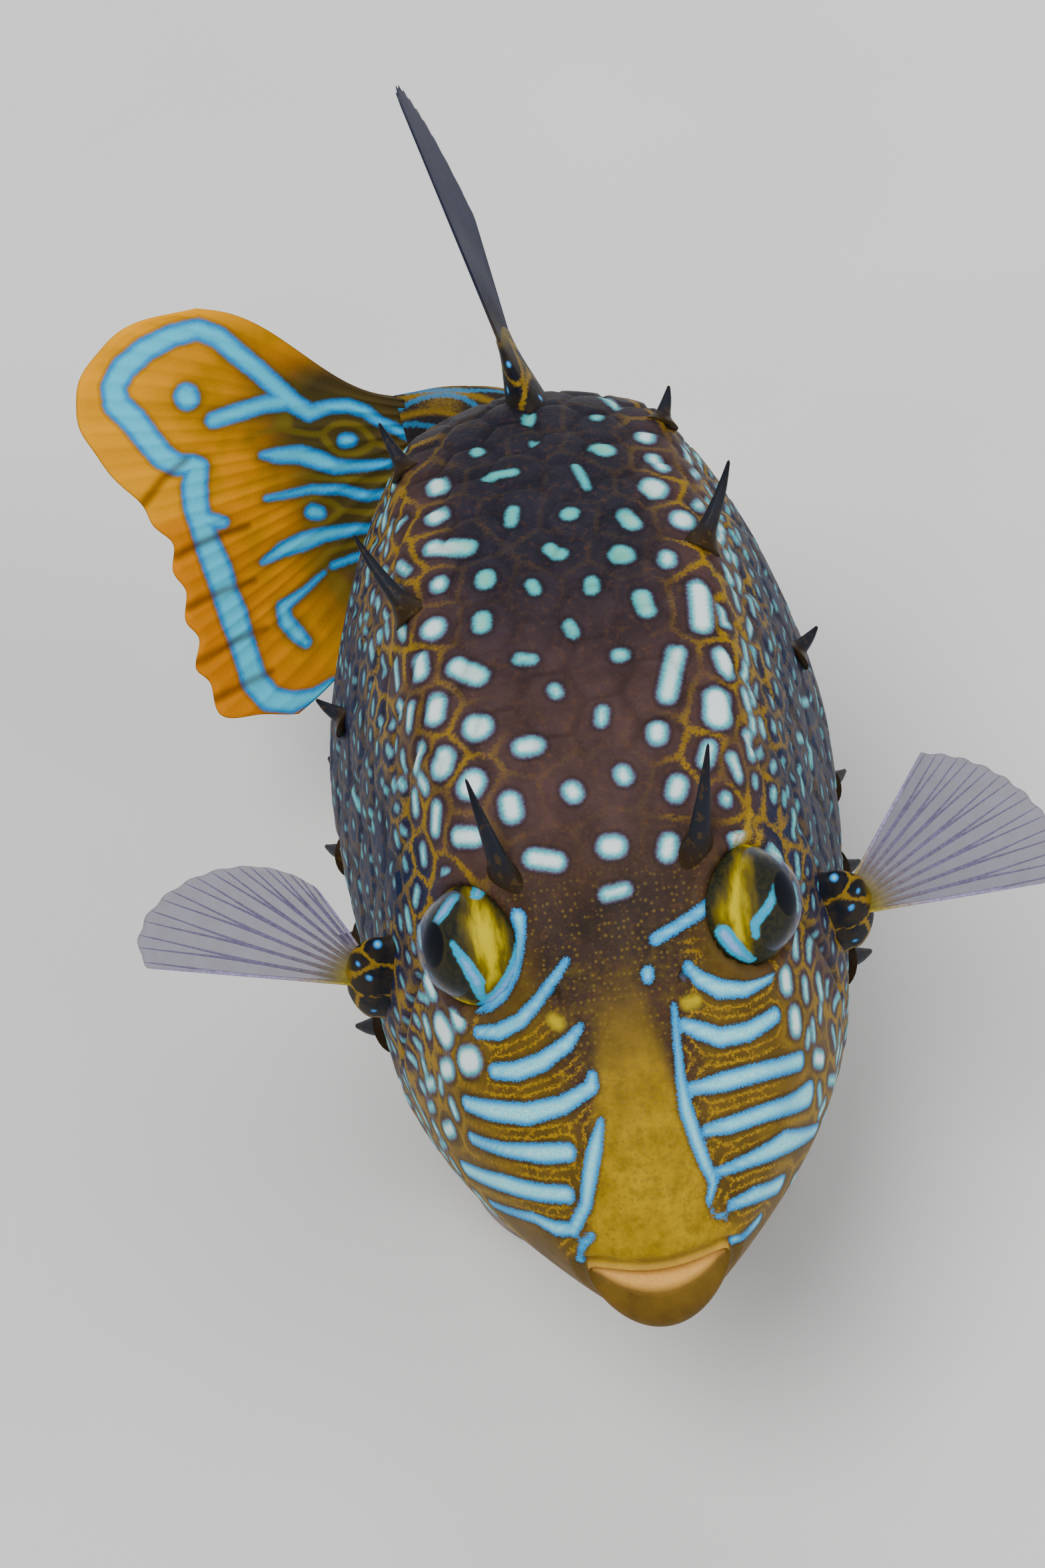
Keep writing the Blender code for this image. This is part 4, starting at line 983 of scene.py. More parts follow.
def scatter_spots(taken):
    """The spots that no view shows, on flanks, cheeks, belly and behind, clear of those that are taken."""
    rng = np.random.default_rng(SPOT_SEED)
    places = []
    for ring, s in enumerate(np.arange(SCATTER_START, SHELL_END - 1, SPOT_PITCH)):
        girth = 2 * math.pi * float(np.interp(s, STATIONS, FLANK_X)) * 1.05
        count = max(int(girth / SPOT_PITCH), SCATTER_LEAST)
        for number in range(count):
            jitter = rng.uniform(-SCATTER_JITTER, SCATTER_JITTER, 2)
            corner = ((number + 0.5 * (ring % 2) + jitter[0]) / count * CORNERS) % CORNERS
            places.append((s + jitter[1] * SPOT_PITCH, corner, rng.uniform(), rng.uniform(), rng.normal()))
    s, corner, wide, long, lean = np.array(places).T
    half = half_round(corner)
    spots = shell(s, corner)
    normals = shell_normal(s, corner)
    seen = normals @ AHEAD < SEEN_SLOPE
    roof = (half < 1.12) & (s > 16)
    face = (half < 1.7) & (s <= SEAM_S + 6)
    snout = s < 9 + 5 * np.abs(half - 2)
    away, _ = stroke_field(spots, taken)
    keep = (away > SPOT_CLEAR) & ~(roof & seen) & ~face & ~snout
    made = []
    for index in np.nonzero(keep)[0]:
        at = half[index]
        big = math.exp(-((at - 1) / 0.4) ** 2) + 0.45 * math.exp(-((at - 3) / 0.45) ** 2) + 0.25 * (at > 3)
        big += 0.55 * float(smooth((SEAM_S - s[index]) / 6))
        radius = mix(*SCATTER_RADII, min(big, 1)) * mix(0.8, 1.2, wide[index])
        length = radius * mix(0.5, 1.5, long[index])
        along = shell(s[index] + 0.5, corner[index]) - shell(s[index] - 0.5, corner[index])
        side = np.cross(normals[index], along)
        way = unit(along + 0.45 * lean[index] * side) * length
        made.append((np.array([spots[index] - way, spots[index] + way]), np.array([radius, radius])))
    return made


def eye_centre(side):
    return np.array((side * EYE_PLACE[0], EYE_PLACE[1], EYE_PLACE[2]))


def eye_axis(side):
    return unit((side * EYE_AXIS[0], EYE_AXIS[1], EYE_AXIS[2]))


def sink_sockets(spots):
    """Raises a soft lid round each eyeball and draws the skin in under it."""
    for side in (1, -1):
        centre = eye_centre(side)
        axis = eye_axis(side)
        out = spots - centre
        height = out @ axis
        flat = out - height[:, None] * axis
        reach = np.linalg.norm(flat, axis=1)
        near = (reach < EYE_RADIUS + LID_REACH) & (height > -LID_DEPTH)
        away = np.linalg.norm(out, axis=1) - EYE_RADIUS
        lid = LID_RISE * np.exp(-(((away - LID_AWAY) / LID_HALF) ** 2)) * near
        spots = spots + lid[:, None] * unit(mix(unit(out), axis, LID_LEAN))
        out = spots - centre
        height = out @ axis
        away = np.linalg.norm(out, axis=1)
        inside = near & (away < EYE_RADIUS + SOCKET_GAP)
        depth = smooth((EYE_RADIUS + SOCKET_GAP - away) / SOCKET_SLOPE)
        low = np.minimum(height, SOCKET_FLOOR)
        spots = spots + (inside * depth * (low - height))[:, None] * axis
    return spots


def ground_colours(spots, corner):
    """The ground colour of the skin under its markings: dark back, brown brow, gold snout, pale belly."""
    half = half_round(corner)
    x, s, z = spots.T
    back = smooth((0.95 - half) / 0.5)
    flank = smooth((half - 1.15) / 0.35) * smooth((3.25 - half) / 0.4)
    brow = smooth((SEAM_S + 4 - s) / 10) * smooth((1.6 - half) / 0.6)
    between_eyes = np.exp(-(((s - 24) / 4.5) ** 2)) * smooth((8.5 - abs(x)) / 3)
    cheek = smooth((27 - s) / 8) * smooth((half - 0.7) / 0.4) * smooth((3.3 - half) / 0.5)
    snout = smooth((np.interp(s, SNOUT_S, SNOUT_HALF) - np.abs(x)) / 1.6 + 0.3) * (half < 2)
    muzzle = smooth((5.0 - s) / 3) * smooth((z - 0.1) / 1.0)
    under_mouth = smooth((11 - s) / 6) * smooth((-1.9 - z) / 1.2)
    below_lips = smooth((3.6 - s) / 1.6) * smooth((0.9 - z) / 0.8)
    ground = np.tile(np.array(BACK_BROWN[:3]), (len(spots), 1))
    for colour, share in (
        (BACK_DARK, back * smooth((s - 40) / 26)),
        (BACK_DARK, 0.75 * smooth((s - 74) / 12)),
        (FLANK_INK, flank * smooth((s - 24) / 12)),
        (KEEL_GOLD, 0.5 * np.exp(-(((half - 3) / 0.22) ** 2)) * smooth((s - 25) / 10)),
        (BELLY_PALE, 0.85 * smooth((half - 3.15) / 0.45) * smooth((s - 4) / 14)),
        (BROW_BROWN, brow),
        (BROW_DARK, brow * between_eyes * 0.75),
        (CHEEK_BROWN, cheek),
        (SNOUT_GOLD, snout * smooth((22.5 - s) / 15)),
        (SNOUT_GOLD, muzzle),
        (CHIN_BROWN, np.maximum(under_mouth, below_lips)),
    ):
        ground = mix(ground, np.array(colour[:3]), np.clip(share, 0, 1)[:, None])
    return ground


def gold_share(station, half, outer_cheek):
    """How strongly the gold network shows: on the back's sides, the outer cheeks and, fainter, the flanks."""
    share = smooth((station - 22 - 5 * smooth((1.3 - half) / 0.4)) / 8)
    share *= 1 - 0.93 * smooth((1.0 - half) / 0.45) * smooth((station - 34) / 14)
    share *= 1 - 0.75 * smooth((half - 1.4) / 0.3) * smooth((2.8 - half) / 0.3) * smooth((station - 34) / 6)
    share = np.maximum(share, outer_cheek * smooth((36 - station) / 8))
    share *= 1 - smooth((half - 3.3) / 0.3) * 0.6
    return share * (1 - 0.9 * smooth((0.72 - half) / 0.3) * smooth((62 - station) / 10))


def skin_lift(spots, corner, station, inside, plated, gill, gill_share):
    """How far the relief lifts the skin off its smooth form: plates, gill folds and slits, and nostrils."""
    lift = PLATE_RISE * plated * (smooth(inside / PLATE_SLOPE) - 0.4)
    fold = np.exp(-(((station - GILL_S + GILL_FOLD_AHEAD) / 0.7) ** 2))
    lift += GILL_FOLD_RISE * fold * gill_share - GILL_DEPTH * gill
    for side in (1, -1):
        at = NOSTRIL_CORNER if side > 0 else CORNERS - NOSTRIL_CORNER
        away = np.linalg.norm(spots - shell(NOSTRIL_S, at), axis=1)
        lift += NOSTRIL_RISE * np.exp(-(((away - 0.75) / 0.32) ** 2))
        lift -= NOSTRIL_DEPTH * np.exp(-((away / 0.4) ** 2))
    return lift


def make_skin():
    """One skin over head, trunk and tail stalk, with its plates, lids, lips, nostrils and gill slits."""
    shape = grid(skin_place, SKIN_ROUND, SKIN_ROWS)
    tree = BVHTree.FromBMesh(shape)
    spots, normals, u, v = read(shape)
    corner = u * CORNERS
    half = half_round(corner)
    station = spots[:, 1]
    row = v * SKIN_ROWS
    on_stalk = smooth((row - LIP_ROWS - SHELL_ROWS) / 6)

    stripes = [(route, widths * STRIPE_GROW) for route, widths in strokes_on(tree, FACE_VIEW, CHEEK_STRIPES)]
    lid_stripes = strokes_on(tree, FACE_VIEW, LID_STRIPES)
    marks = spots_on(tree, BACK_VIEW, BACK_SPOTS) + spots_on(tree, FACE_VIEW, FACE_SPOTS)
    marks += scatter_spots(marks + stripes + lid_stripes)
    spot, next_spot = stroke_field(spots, marks)
    stripe, next_stripe = stroke_field(spots, stripes)
    lid_stripe, _ = stroke_field(spots, lid_stripes)
    band, next_band = stroke_field(spots, stalk_bands())
    nostril, _ = stroke_field(spots, strokes_on(tree, FACE_VIEW, NOSTRILS))
    lid_gold, _ = stroke_field(spots, strokes_on(tree, FACE_VIEW, LID_GOLD))
    near = np.minimum(spot, stripe)
    after = np.minimum(np.maximum(spot, stripe), np.minimum(next_spot, next_stripe))

    inside = plate_edge(station, corner)
    plated = smooth((station - seam_station(corner)) / 2.5) * smooth((SHELL_END - station) / 6)
    along_gill = (half - GILL_CORNERS[0]) / (GILL_CORNERS[1] - GILL_CORNERS[0])
    gill_share = smooth(along_gill / 0.2) * smooth((1 - along_gill) / 0.2)
    gill = np.exp(-(((station - GILL_S) / GILL_HALF) ** 2)) * gill_share
    lift = skin_lift(spots, corner, station, inside, plated, gill, gill_share)
    lift += SPOT_RISE * smooth((0.1 - spot) / 0.4) * (1 - on_stalk)

    upper = np.clip(np.cos(corner * math.pi / 4), 0, 1)
    lower = np.clip(-np.cos(corner * math.pi / 4), 0, 1)
    on_upper = smooth(upper / 0.3)
    upper_edge = LIP_ROWS * mix(0.46, 0.78, on_upper) + 1.8 * upper**2
    lower_edge = LIP_ROWS * mix(0.46, 0.36, smooth(lower / 0.5))
    lift -= LIP_CREASE_DEPTH * np.exp(-(((row - upper_edge - 1.5) / 1.4) ** 2)) * on_upper
    lip = smooth((np.where(upper > 0, upper_edge, lower_edge) - row) / 2.5) * (1 - 0.6 * smooth(upper / 0.25))

    outer_cheek = smooth((half - 1.55) / 0.3) * smooth((station - 8) / 4)
    snout_half = 3.0 + 0.25 * np.maximum(station - 12, 0)
    beside_snout = smooth((np.abs(spots[:, 0]) - snout_half) / 1.5)
    by_stripe = smooth((1.5 - stripe) / 0.5)
    mid_back = smooth((station - 38) / 18) * smooth((0.85 - half) / 0.45)
    far_flank = smooth((half - 1.3) / 0.3) * smooth((station - 30) / 8)
    fields = {
        "ground": np.column_stack([ground_colours(spots, corner), np.ones(len(spots))]),
        "spot": spot,
        "pale": (1 - 0.85 * mid_back) * (1 - 0.45 * far_flank),
        "stripe": np.minimum(stripe, lid_stripe),
        "web": (after - near) / 2,
        "web_share": gold_share(station, half, outer_cheek) * (1 - on_stalk),
        "rows_share": by_stripe * smooth((28 - station) / 4) * (1 - outer_cheek * 0.8) * beside_snout,
        "dots": smooth((31 - station) / 6) * smooth((station - 2) / 3) * smooth((1.2 - half) / 0.4),
        "lip": lip,
        # Dark reddish-brown line along the upper lip's crease: painted shade of the crease on the lip's own
        # reddish tone
        "lip_crease_shade": np.where(upper > 0.05, np.abs(row - upper_edge - 0.6), 9.0),
        # Rows from the mouth's line: the dark red laid there is painted shade of the mouth gap, on the lips'
        # reddish tone
        "mouth": row,
        "band": np.where(on_stalk > 0.3, band, 5.0),
        "band_web": (next_band - band) / 2,
        "stalk": on_stalk,
        "nostril": nostril,
        "snout": smooth((26 - station) / 6) * smooth((1.4 - half) / 0.4),
        "lid_gold": lid_gold,
        # Painted shade: the colour is darkened by up to a quarter in the grooves between the plates
        "plate_groove_shade": 1 - plated * smooth((0.5 - inside) / 0.5) * 0.25,
        "gill": gill,
    }
    moved = sink_sockets(spots + lift[:, None] * normals)
    piece("skin", [shape], skin_paint(), ("head", "trunk", "tail_stalk"), fields, moved)


def stalk_bands():
    """The blue stripes that run wavily along the tail stalk."""
    made = []
    for number in range(STALK_BANDS):
        share = np.linspace(0.02, 1.0, 14)
        corner = (number + 0.35 * np.sin(share * 7 + 1.9 * number)) * CORNERS / STALK_BANDS
        made.append((stalk_place(corner, share), np.full(14, STALK_BAND_HALF)))
    return made


def skin_paint():
    """Painted skin: dark ground, gold network, white and cyan spots, blue cheek stripes and pale dots."""
    paint = Paint("patterned_skin", SKIN_BROWN, SKIN_GLOSS[0], Specular_IOR_Level=SKIN_GLOSS[1])
    fine = paint.noise(3.2, 2.0, 0.6)
    hair = paint.noise(6.5, 1.0, 0.5)
    paint.colour = paint.field("ground", "Color")
    paint.shade(paint.rise(paint.noise(0.28, 3.0, 0.6), 0.25, 0.75, 0.72, 1.22))
    paint.coat(paint.rise(paint.noise(1.3, 3.0, 0.65), 0.50, 0.72, 0.0, 0.22), MOTTLE_BROWN)
    stains = paint.rise(paint.noise(0.8, 5.0, 0.7), 0.42, 0.68, 0.0, 0.5)
    paint.coat(paint.times(stains, paint.field("snout")), STAIN_OLIVE)

    web = paint.ragged("web", fine, 0.13)
    patchy = paint.rise(paint.noise(0.16, 2.0), 0.36, 0.56, 0.25, 1.0)
    line = paint.times(paint.rise(web, 0.08, 0.42, 1.0, 0.0), patchy)
    paint.coat(paint.times(line, paint.field("web_share")), GOLD)
    from_rail = paint.add("Math", paint.plus(web, -0.42), operation="ABSOLUTE").outputs[0]
    dashes = paint.rise(paint.noise(2.4, 1.0), 0.36, 0.52, 0.35, 1.0)
    rail = paint.times(paint.rise(from_rail, 0.02, 0.20, 0.9, 0.0), dashes)
    paint.coat(paint.times(rail, paint.field("rows_share")), GOLD_THREAD)
    dot = paint.rise(paint.grains(1.75, 0.55), 0.12, 0.38, 0.55, 0.0)
    paint.coat(paint.times(dot, paint.field("dots")), PALE_DOT)

    spot = paint.ragged("spot", fine, 0.06)
    pale = paint.field("pale")
    paint.coats(spot, SPOT_SHADOW)
    paint.coat(paint.times(paint.rise(spot, *SPOT_HALO, 0.0), pale), SPOT_EDGE)
    paint.coats(spot, SPOT_BLUE)
    paint.coat(paint.rise(spot, *SPOT_HEART, 1.0, 0.0), paint.blend(pale, SPOT_MINT, SPOT_CORE))

    stripe = paint.ragged("stripe", hair, 0.10)
    paint.coats(stripe, STRIPE_COATS)
    core = paint.blend(paint.rise(hair, 0.35, 0.68), STRIPE_CORE, STRIPE_PALE)
    paint.coat(paint.rise(stripe, *STRIPE_HEART, 1.0, 0.0), core)

    stalk = paint.field("stalk")
    paint.coat(paint.times(stalk, 0.8), STALK_DARK)
    thread = paint.rise(paint.ragged("band_web", fine, 0.08), 0.05, 0.60, 0.7, 0.0)
    paint.coat(paint.times(thread, stalk), GOLD)
    band = paint.rise(paint.ragged("band", fine, 0.1), -0.12, 0.16, 0.75, 0.0)
    paint.coat(paint.times(band, stalk), STALK_BLUE)

    paint.coats("nostril", NOSTRIL_COATS)
    paint.coats(paint.ragged("lid_gold", hair, 0.25), LID_COATS)
    paint.coat(paint.times(paint.field("lip"), paint.rise(fine, 0.2, 0.8, 0.8, 1.0)), LIP_PEACH)
    # Painted shade of the lip's crease, on the lip's reddish tone
    paint.coats("lip_crease_shade", LIP_CREASE_SHADE_COATS)
    # Dark red along the closed mouth line: painted shade of the mouth gap, on the lips' reddish tone
    paint.coats("mouth", MOUTH_GAP_SHADE_COATS)
    # Painted shade: the gill slits are darkened towards black, as shade in the slit
    paint.coat(paint.times(paint.field("gill"), 0.6), SHADE_BLACK)
    # Painted shade in the grooves between the plates
    paint.shade(paint.field("plate_groove_shade"))
    grain = paint.rise(paint.grains(2.1), 0.05, 0.55, 1.0, 0.0)
    paint.bump(paint.plus(grain, paint.times(fine, 0.8)), 0.07, 0.5)
    return paint.finish()


def fin_side(u):
    """Which face of a fin u lies on, 1 or -1, and how far across the fin, from -1 to 1."""
    return np.where(u < 0.5, 1.0, -1.0), np.where(u < 0.5, 4 * u - 1, 3 - 4 * u)


def from_ray(w, rays, forks=1):
    """How far across the gap between two rays, or their forks, a place lies from the nearer one."""
    phase = (w + 1) / 2 * (rays - 1) * forks
    return np.abs(phase - np.round(phase)) / forks


def along_ray(start, end, normal, bow, v):
    """Places along a ray that bows out of the fin's plane."""
    return mix(start, end, v[:, None]) + normal * (bow * np.sin(math.pi * v / 2) ** 2)[:, None]


def fan_place(root, tip, rays, thick, web_half, ray_rise, normal, bow, scallop, swell=None):
    """A closed thin fin with its rays raised in its own faces: u runs round it and v out to its edge."""

    def place(u, v):
        face, w = fin_side(u)
        away = from_ray(w, rays)
        start = root(w)
        end = mix(start, tip(w), (1 - scallop(w) * smooth(away * 2))[:, None])
        spots = along_ray(start, end, normal, bow, v)
        if swell:
            spots = spots + swell(w, v)
        half = web_half + (thick - web_half) * smooth(1 - v / 0.35)
        single = np.exp(-((away / mix(0.26, 0.12, v)) ** 2))
        forked = np.exp(-((from_ray(w, rays, 3) / 0.07) ** 2))
        half = half + ray_rise * (1 - 0.55 * v) * mix(single, forked, smooth((v - 0.4) / 0.3))
        half = half * smooth((1 - np.abs(w)) * (rays - 1) * 2.2) * smooth((1 - v) / 0.03) * smooth(v / 0.02)
        return spots + normal * (face * half)[:, None]

    return place


def tail_frame():
    """Root place of the tail fin, its length direction, its depth direction and its normal."""
    root, angle = stalk_path(np.array(BEND * BEND_RADIUS + STALK_STRAIGHT))
    along, deep = stalk_axes(angle, np.array(TWIST))
    return root, along, deep, np.cross(along, deep)


def make_tail():
    """The tail fin: forked rays, an orange web and the bright blue band inside its edge."""
    origin, along, deep, normal = tail_frame()

    def root(w):
        return origin + (TAIL_ROOT_HALF * 0.97 * w)[:, None] * deep - TAIL_SUNK * along

    def tip(w):
        out = through(TAIL_TIPS_W, TAIL_TIPS_OUT, w)
        up = through(TAIL_TIPS_W, TAIL_TIPS_UP, w)
        return origin + out[:, None] * along + up[:, None] * deep

    def swell(w, v):
        out = np.where(w < 0, TAIL_SWELL[0] * np.sin(math.pi * v), TAIL_SWELL[1] * np.sin(2 * math.pi * v))
        return (-out * np.abs(w) ** 3)[:, None] * deep

    def scallop(w):
        return mix(*TAIL_NOTCHES, smooth((w + 0.1) / 0.3))

    place = fan_place(root, tip, TAIL_RAYS, *TAIL_THICKNESS, normal, TAIL_BOW, scallop, swell)
    shape = grid(place, 520, 110)
    tree = BVHTree.FromBMesh(shape)
    spots, _, u, v = read(shape)
    blue, after = stroke_field(spots, strokes_on(tree, TAIL_VIEW, TAIL_STROKES))
    fold_shadow, _ = stroke_field(spots, strokes_on(tree, TAIL_VIEW, TAIL_FOLD_SHADOWS))
    _, w = fin_side(u)
    fields = {
        "blue": blue,
        "web": (after - blue) / 2,
        "fold_shadow": fold_shadow,
        "out": v,
        "ray": from_ray(w, TAIL_RAYS),
        # Which lobes get the darker orange of painted shade on their margin
        "lower": smooth((0.06 - w) / 0.12),
    }
    piece("tail_fin", [shape], tail_paint(), ("caudal_fin",), fields)


def tail_paint():
    """Orange web with a brighter edge and an olive root, and blue strokes with gold threads between them."""
    paint = Paint("tail_web", TAIL_ORANGE, TAIL_GLOSS[0], Specular_IOR_Level=TAIL_GLOSS[1])
    fine = paint.noise(2.5, 2.0, 0.6)
    inner = paint.blend(paint.rise(paint.noise(0.22, 2.0), 0.35, 0.65), TAIL_OCHRE, TAIL_AMBER)
    # The lower lobes' margin is painted a darker orange as shade of the folded fin
    edge = paint.blend(paint.field("lower"), TAIL_ORANGE, TAIL_SHADED_ORANGE)
    near_root = paint.rise("out", 0.34, 0.62, 0.92, 0.0)
    paint.colour = paint.blend(paint.rise("out", 0.60, 0.92), inner, edge)
    paint.coat(near_root, ROOT_SLATE)
    beside = paint.times(paint.rise("blue", 0.1, 1.4, 0.4, 0.0), paint.rise("out", 0.9, 0.6))
    paint.coat(beside, TAIL_OLIVE)
    paint.coat(paint.times(paint.rise("web", 0.12, 0.52, 0.9, 0.0), near_root), OLIVE_GOLD)
    paint.shade(paint.rise("ray", 0.0, 0.5, 1.0, 0.86))
    blue = paint.ragged("blue", fine, 0.05)
    paint.coat(paint.rise(blue, 0.0, 0.6, 0.6, 0.0), paint.blend(near_root, TAIL_SHADE, ROOT_SLATE))
    paint.coats(blue, TAIL_BLUE_COATS)
    # Painted fold shadows across the margin
    paint.coats("fold_shadow", FOLD_SHADOW_COATS)
    paint.bump(paint.plus(fine, paint.rise(paint.noise(7.0, 1.0), 0.3, 0.7)), 0.05, 0.4)
    return paint.finish()


def ray_tubes(root, tip, normal, rays, bow, thick):
    """Fin rays as tapered tubes from root(w) to tip(w), each in two halves that part on their way out."""
    shapes = []
    for number in range(rays):
        w = 2 * number / (rays - 1) - 1
        for fork in (-0.5, 0.5):
            start = root(np.array([w]))[0]
            whole_end = tip(np.array([w]))[0]
            fork_end = tip(np.array([np.clip(w + fork * RAY_FORK / (rays - 1), -1, 1)]))[0]

            def place(u, v, start=start, whole_end=whole_end, fork_end=fork_end):
                end = mix(whole_end, fork_end, smooth((v - 0.35) / 0.65)[:, None])
                beside = unit(np.cross(unit(fork_end - start), normal))
                radius = mix(thick, thick * RAY_TIP, v) * smooth((1 - v) / 0.02) * smooth(v / 0.01)
                turn = 2 * math.pi * u
                ring = np.cos(turn)[:, None] * beside + 0.8 * np.sin(turn)[:, None] * normal
                return along_ray(start, end, normal, bow, v) + radius[:, None] * ring

            shapes.append(grid(place, 8, 26))
    return shapes


def web_paint(name, colours, alpha):
    """A fin's clear skin, denser and in another colour near its root."""
    near, far = colours
    paint = Paint(name, far, WEB_GLOSS[0], Specular_IOR_Level=WEB_GLOSS[1])
    paint.colour = paint.blend(paint.rise("out", *WEB_ROOT), near, far)
    paint.shade(paint.rise(paint.noise(0.9, 3.0, 0.6), 0.3, 0.7, 0.8, 1.2))
    paint.join(paint.rise("out", *WEB_ROOT, 0.95, alpha), paint.shader.inputs["Alpha"])
    paint.bump(paint.noise(4.0, 2.0), 0.04, 0.4)
    return paint.finish()


def ray_paint(name, colours):
    """Rays that run from one colour at the root to another at the tip."""
    near, far = colours
    paint = Paint(name, near, WEB_GLOSS[0], Specular_IOR_Level=WEB_GLOSS[1])
    paint.colour = paint.blend(paint.rise("out", 0.02, 0.45), near, far)
    paint.shade(paint.rise(paint.noise(3.0, 1.0), 0.35, 0.65, 0.8, 1.15))
    return paint.finish()


def joined_out(shapes):
    """How far out each corner of the shapes lies, in the order in which piece() joins them."""
    return np.concatenate([read(shape)[3] for shape in shapes])


def make_rayed_fin(node, root, tip, normal, rays, thick, bow, paints):
    """A soft fin as a thin clear web with solid rays through it."""
    web_finish, ray_finish = paints
    place = fan_place(root, tip, rays, thick * 0.8, *SOFT_WEB, normal, bow, lambda w: SOFT_NOTCH)
    web = grid(place, 240, 60)
    piece(node + "_web", [web], web_finish, (node,), {"out": read(web)[3]})
    tubes = ray_tubes(root, tip, normal, rays, bow, thick)
    piece(node + "_rays", tubes, ray_finish, (node,), {"out": joined_out(tubes)})


def median_fin(row, up, stations, length, lean, curl):
    """Root and tip of the dorsal or anal fin."""
    sideways = np.array((-math.sin(lean), 0.0, 0.0))

    def root(w):
        s = mix(*stations, (w + 1) / 2)
        z = through(STATIONS, row, s) - up * MEDIAN_SUNK
        return np.stack([np.zeros_like(w), s, z], axis=-1)

    def tip(w):
        angle = np.radians(mix(*MEDIAN_SLOPES, (w + 1) / 2))
        reach = length * (1 - 0.16 * (w + 1) - 0.14 * np.maximum(w, 0) ** 2)
        reach = reach * (1 - 0.1 * np.maximum(-w, 0) ** 3) + MEDIAN_SUNK
        heading = np.stack([np.zeros_like(w), np.cos(angle), up * np.sin(angle)], axis=-1) + sideways
        aside = curl * (w + 1) / 2
        return root(w) + reach[:, None] * unit(heading) + aside[:, None] * np.array((1.0, 0.0, 0.0))

    return root, tip


def make_median_fins():
    """Dorsal and anal fins, each with a fleshy foot under its rays."""
    paints = (web_paint("median_web", MEDIAN_WEB, MEDIAN_ALPHA), ray_paint("median_rays", MEDIAN_RAYS))
    normal = np.array((1.0, 0.0, 0.0))
    for name, row, up, stations, length, lean, curl in (
        ("dorsal_fin", CREST_Z, 1, DORSAL_STATIONS, DORSAL_LENGTH, DORSAL_LEAN, DORSAL_CURL),
        ("anal_fin", BELLY_Z, -1, ANAL_STATIONS, ANAL_LENGTH, ANAL_LEAN, ANAL_CURL),
    ):
        root, tip = median_fin(row, up, stations, length, lean, curl)
        make_rayed_fin(name, root, tip, normal, MEDIAN_RAY_COUNT, MEDIAN_RAY_HALF, 0.0, paints)
        make_fin_foot(name, root, tip, length)


def make_fin_foot(name, root, tip, length):
    """The muscular foot that a median fin stands on, dark with gold rings and blue spots."""
    w = np.linspace(-1, 1, 3)
    starts = root(w)
    ends = starts + unit(tip(w) - starts) * length * FOOT_SHARE
    low = starts - (ends - starts) * 0.25

    def place(u, v):
        turn = 2 * math.pi * u
        middle = mix(low[1], ends[1], v[:, None])
        half_long = mix(np.linalg.norm(low[2] - low[0]), np.linalg.norm(ends[2] - ends[0]), v) / 2 * 1.08
        way = unit(mix(low[2] - low[0], ends[2] - ends[0], v[:, None]))
        wide = mix(*FOOT_WIDTHS, smooth(v))
        close = np.sqrt(np.clip(1 - np.maximum(v - 0.9, 0) / 0.1, 0, 1)) * np.sqrt(np.clip(v / 0.04, 0, 1))
        sides = np.stack([np.ones_like(u), np.zeros_like(u), np.zeros_like(u)], axis=-1)
        round_part = (wide * close * np.sin(turn))[:, None] * sides
        return middle + (half_long * close * np.cos(turn))[:, None] * way + round_part

    make_flesh(name + "_foot", name, place, (64, 40), FOOT_SPOTS)


def make_flesh(name, node, place, squares, dots):
    """The fleshy part of a fin, with blue spots at the given turns and heights, each with its radius."""
    shape = grid(place, *squares)
    spots, _, _, v = read(shape)
    marks = []
    for turn, share, radius in dots:
        here = place(np.array([turn]), np.array([share]))[0]
        marks.append((np.array([here, here + 0.01]), np.array([radius, radius])))
    spot, after = stroke_field(spots, marks)
    fields = {"spot": spot, "web": (after - spot) / 2, "out": v}
    piece(name, [shape], flesh_paint(), (node,), fields)


def flesh_paint():
    """Dark fin flesh with gold rings round blue spots."""
    known = bpy.data.materials.get("fin_flesh")
    if known:
        return known
    paint = Paint("fin_flesh", FLESH_GREY, FLESH_GLOSS[0], Specular_IOR_Level=FLESH_GLOSS[1])
    fine = paint.noise(2.6, 2.0, 0.6)
    paint.colour = paint.blend(paint.rise(paint.noise(0.7, 2.0), 0.35, 0.65), FLESH_DARK, FLESH_BROWN)
    paint.coats(paint.ragged("web", fine, 0.08), FLESH_WEB_COATS)
    paint.coats("spot", FLESH_SPOT_COATS)
    paint.coat(paint.rise("out", 0.80, 1.0, 0.0, 0.8), FLESH_GOLD)
    paint.bump(fine, 0.08, 0.5)
    return paint.finish()


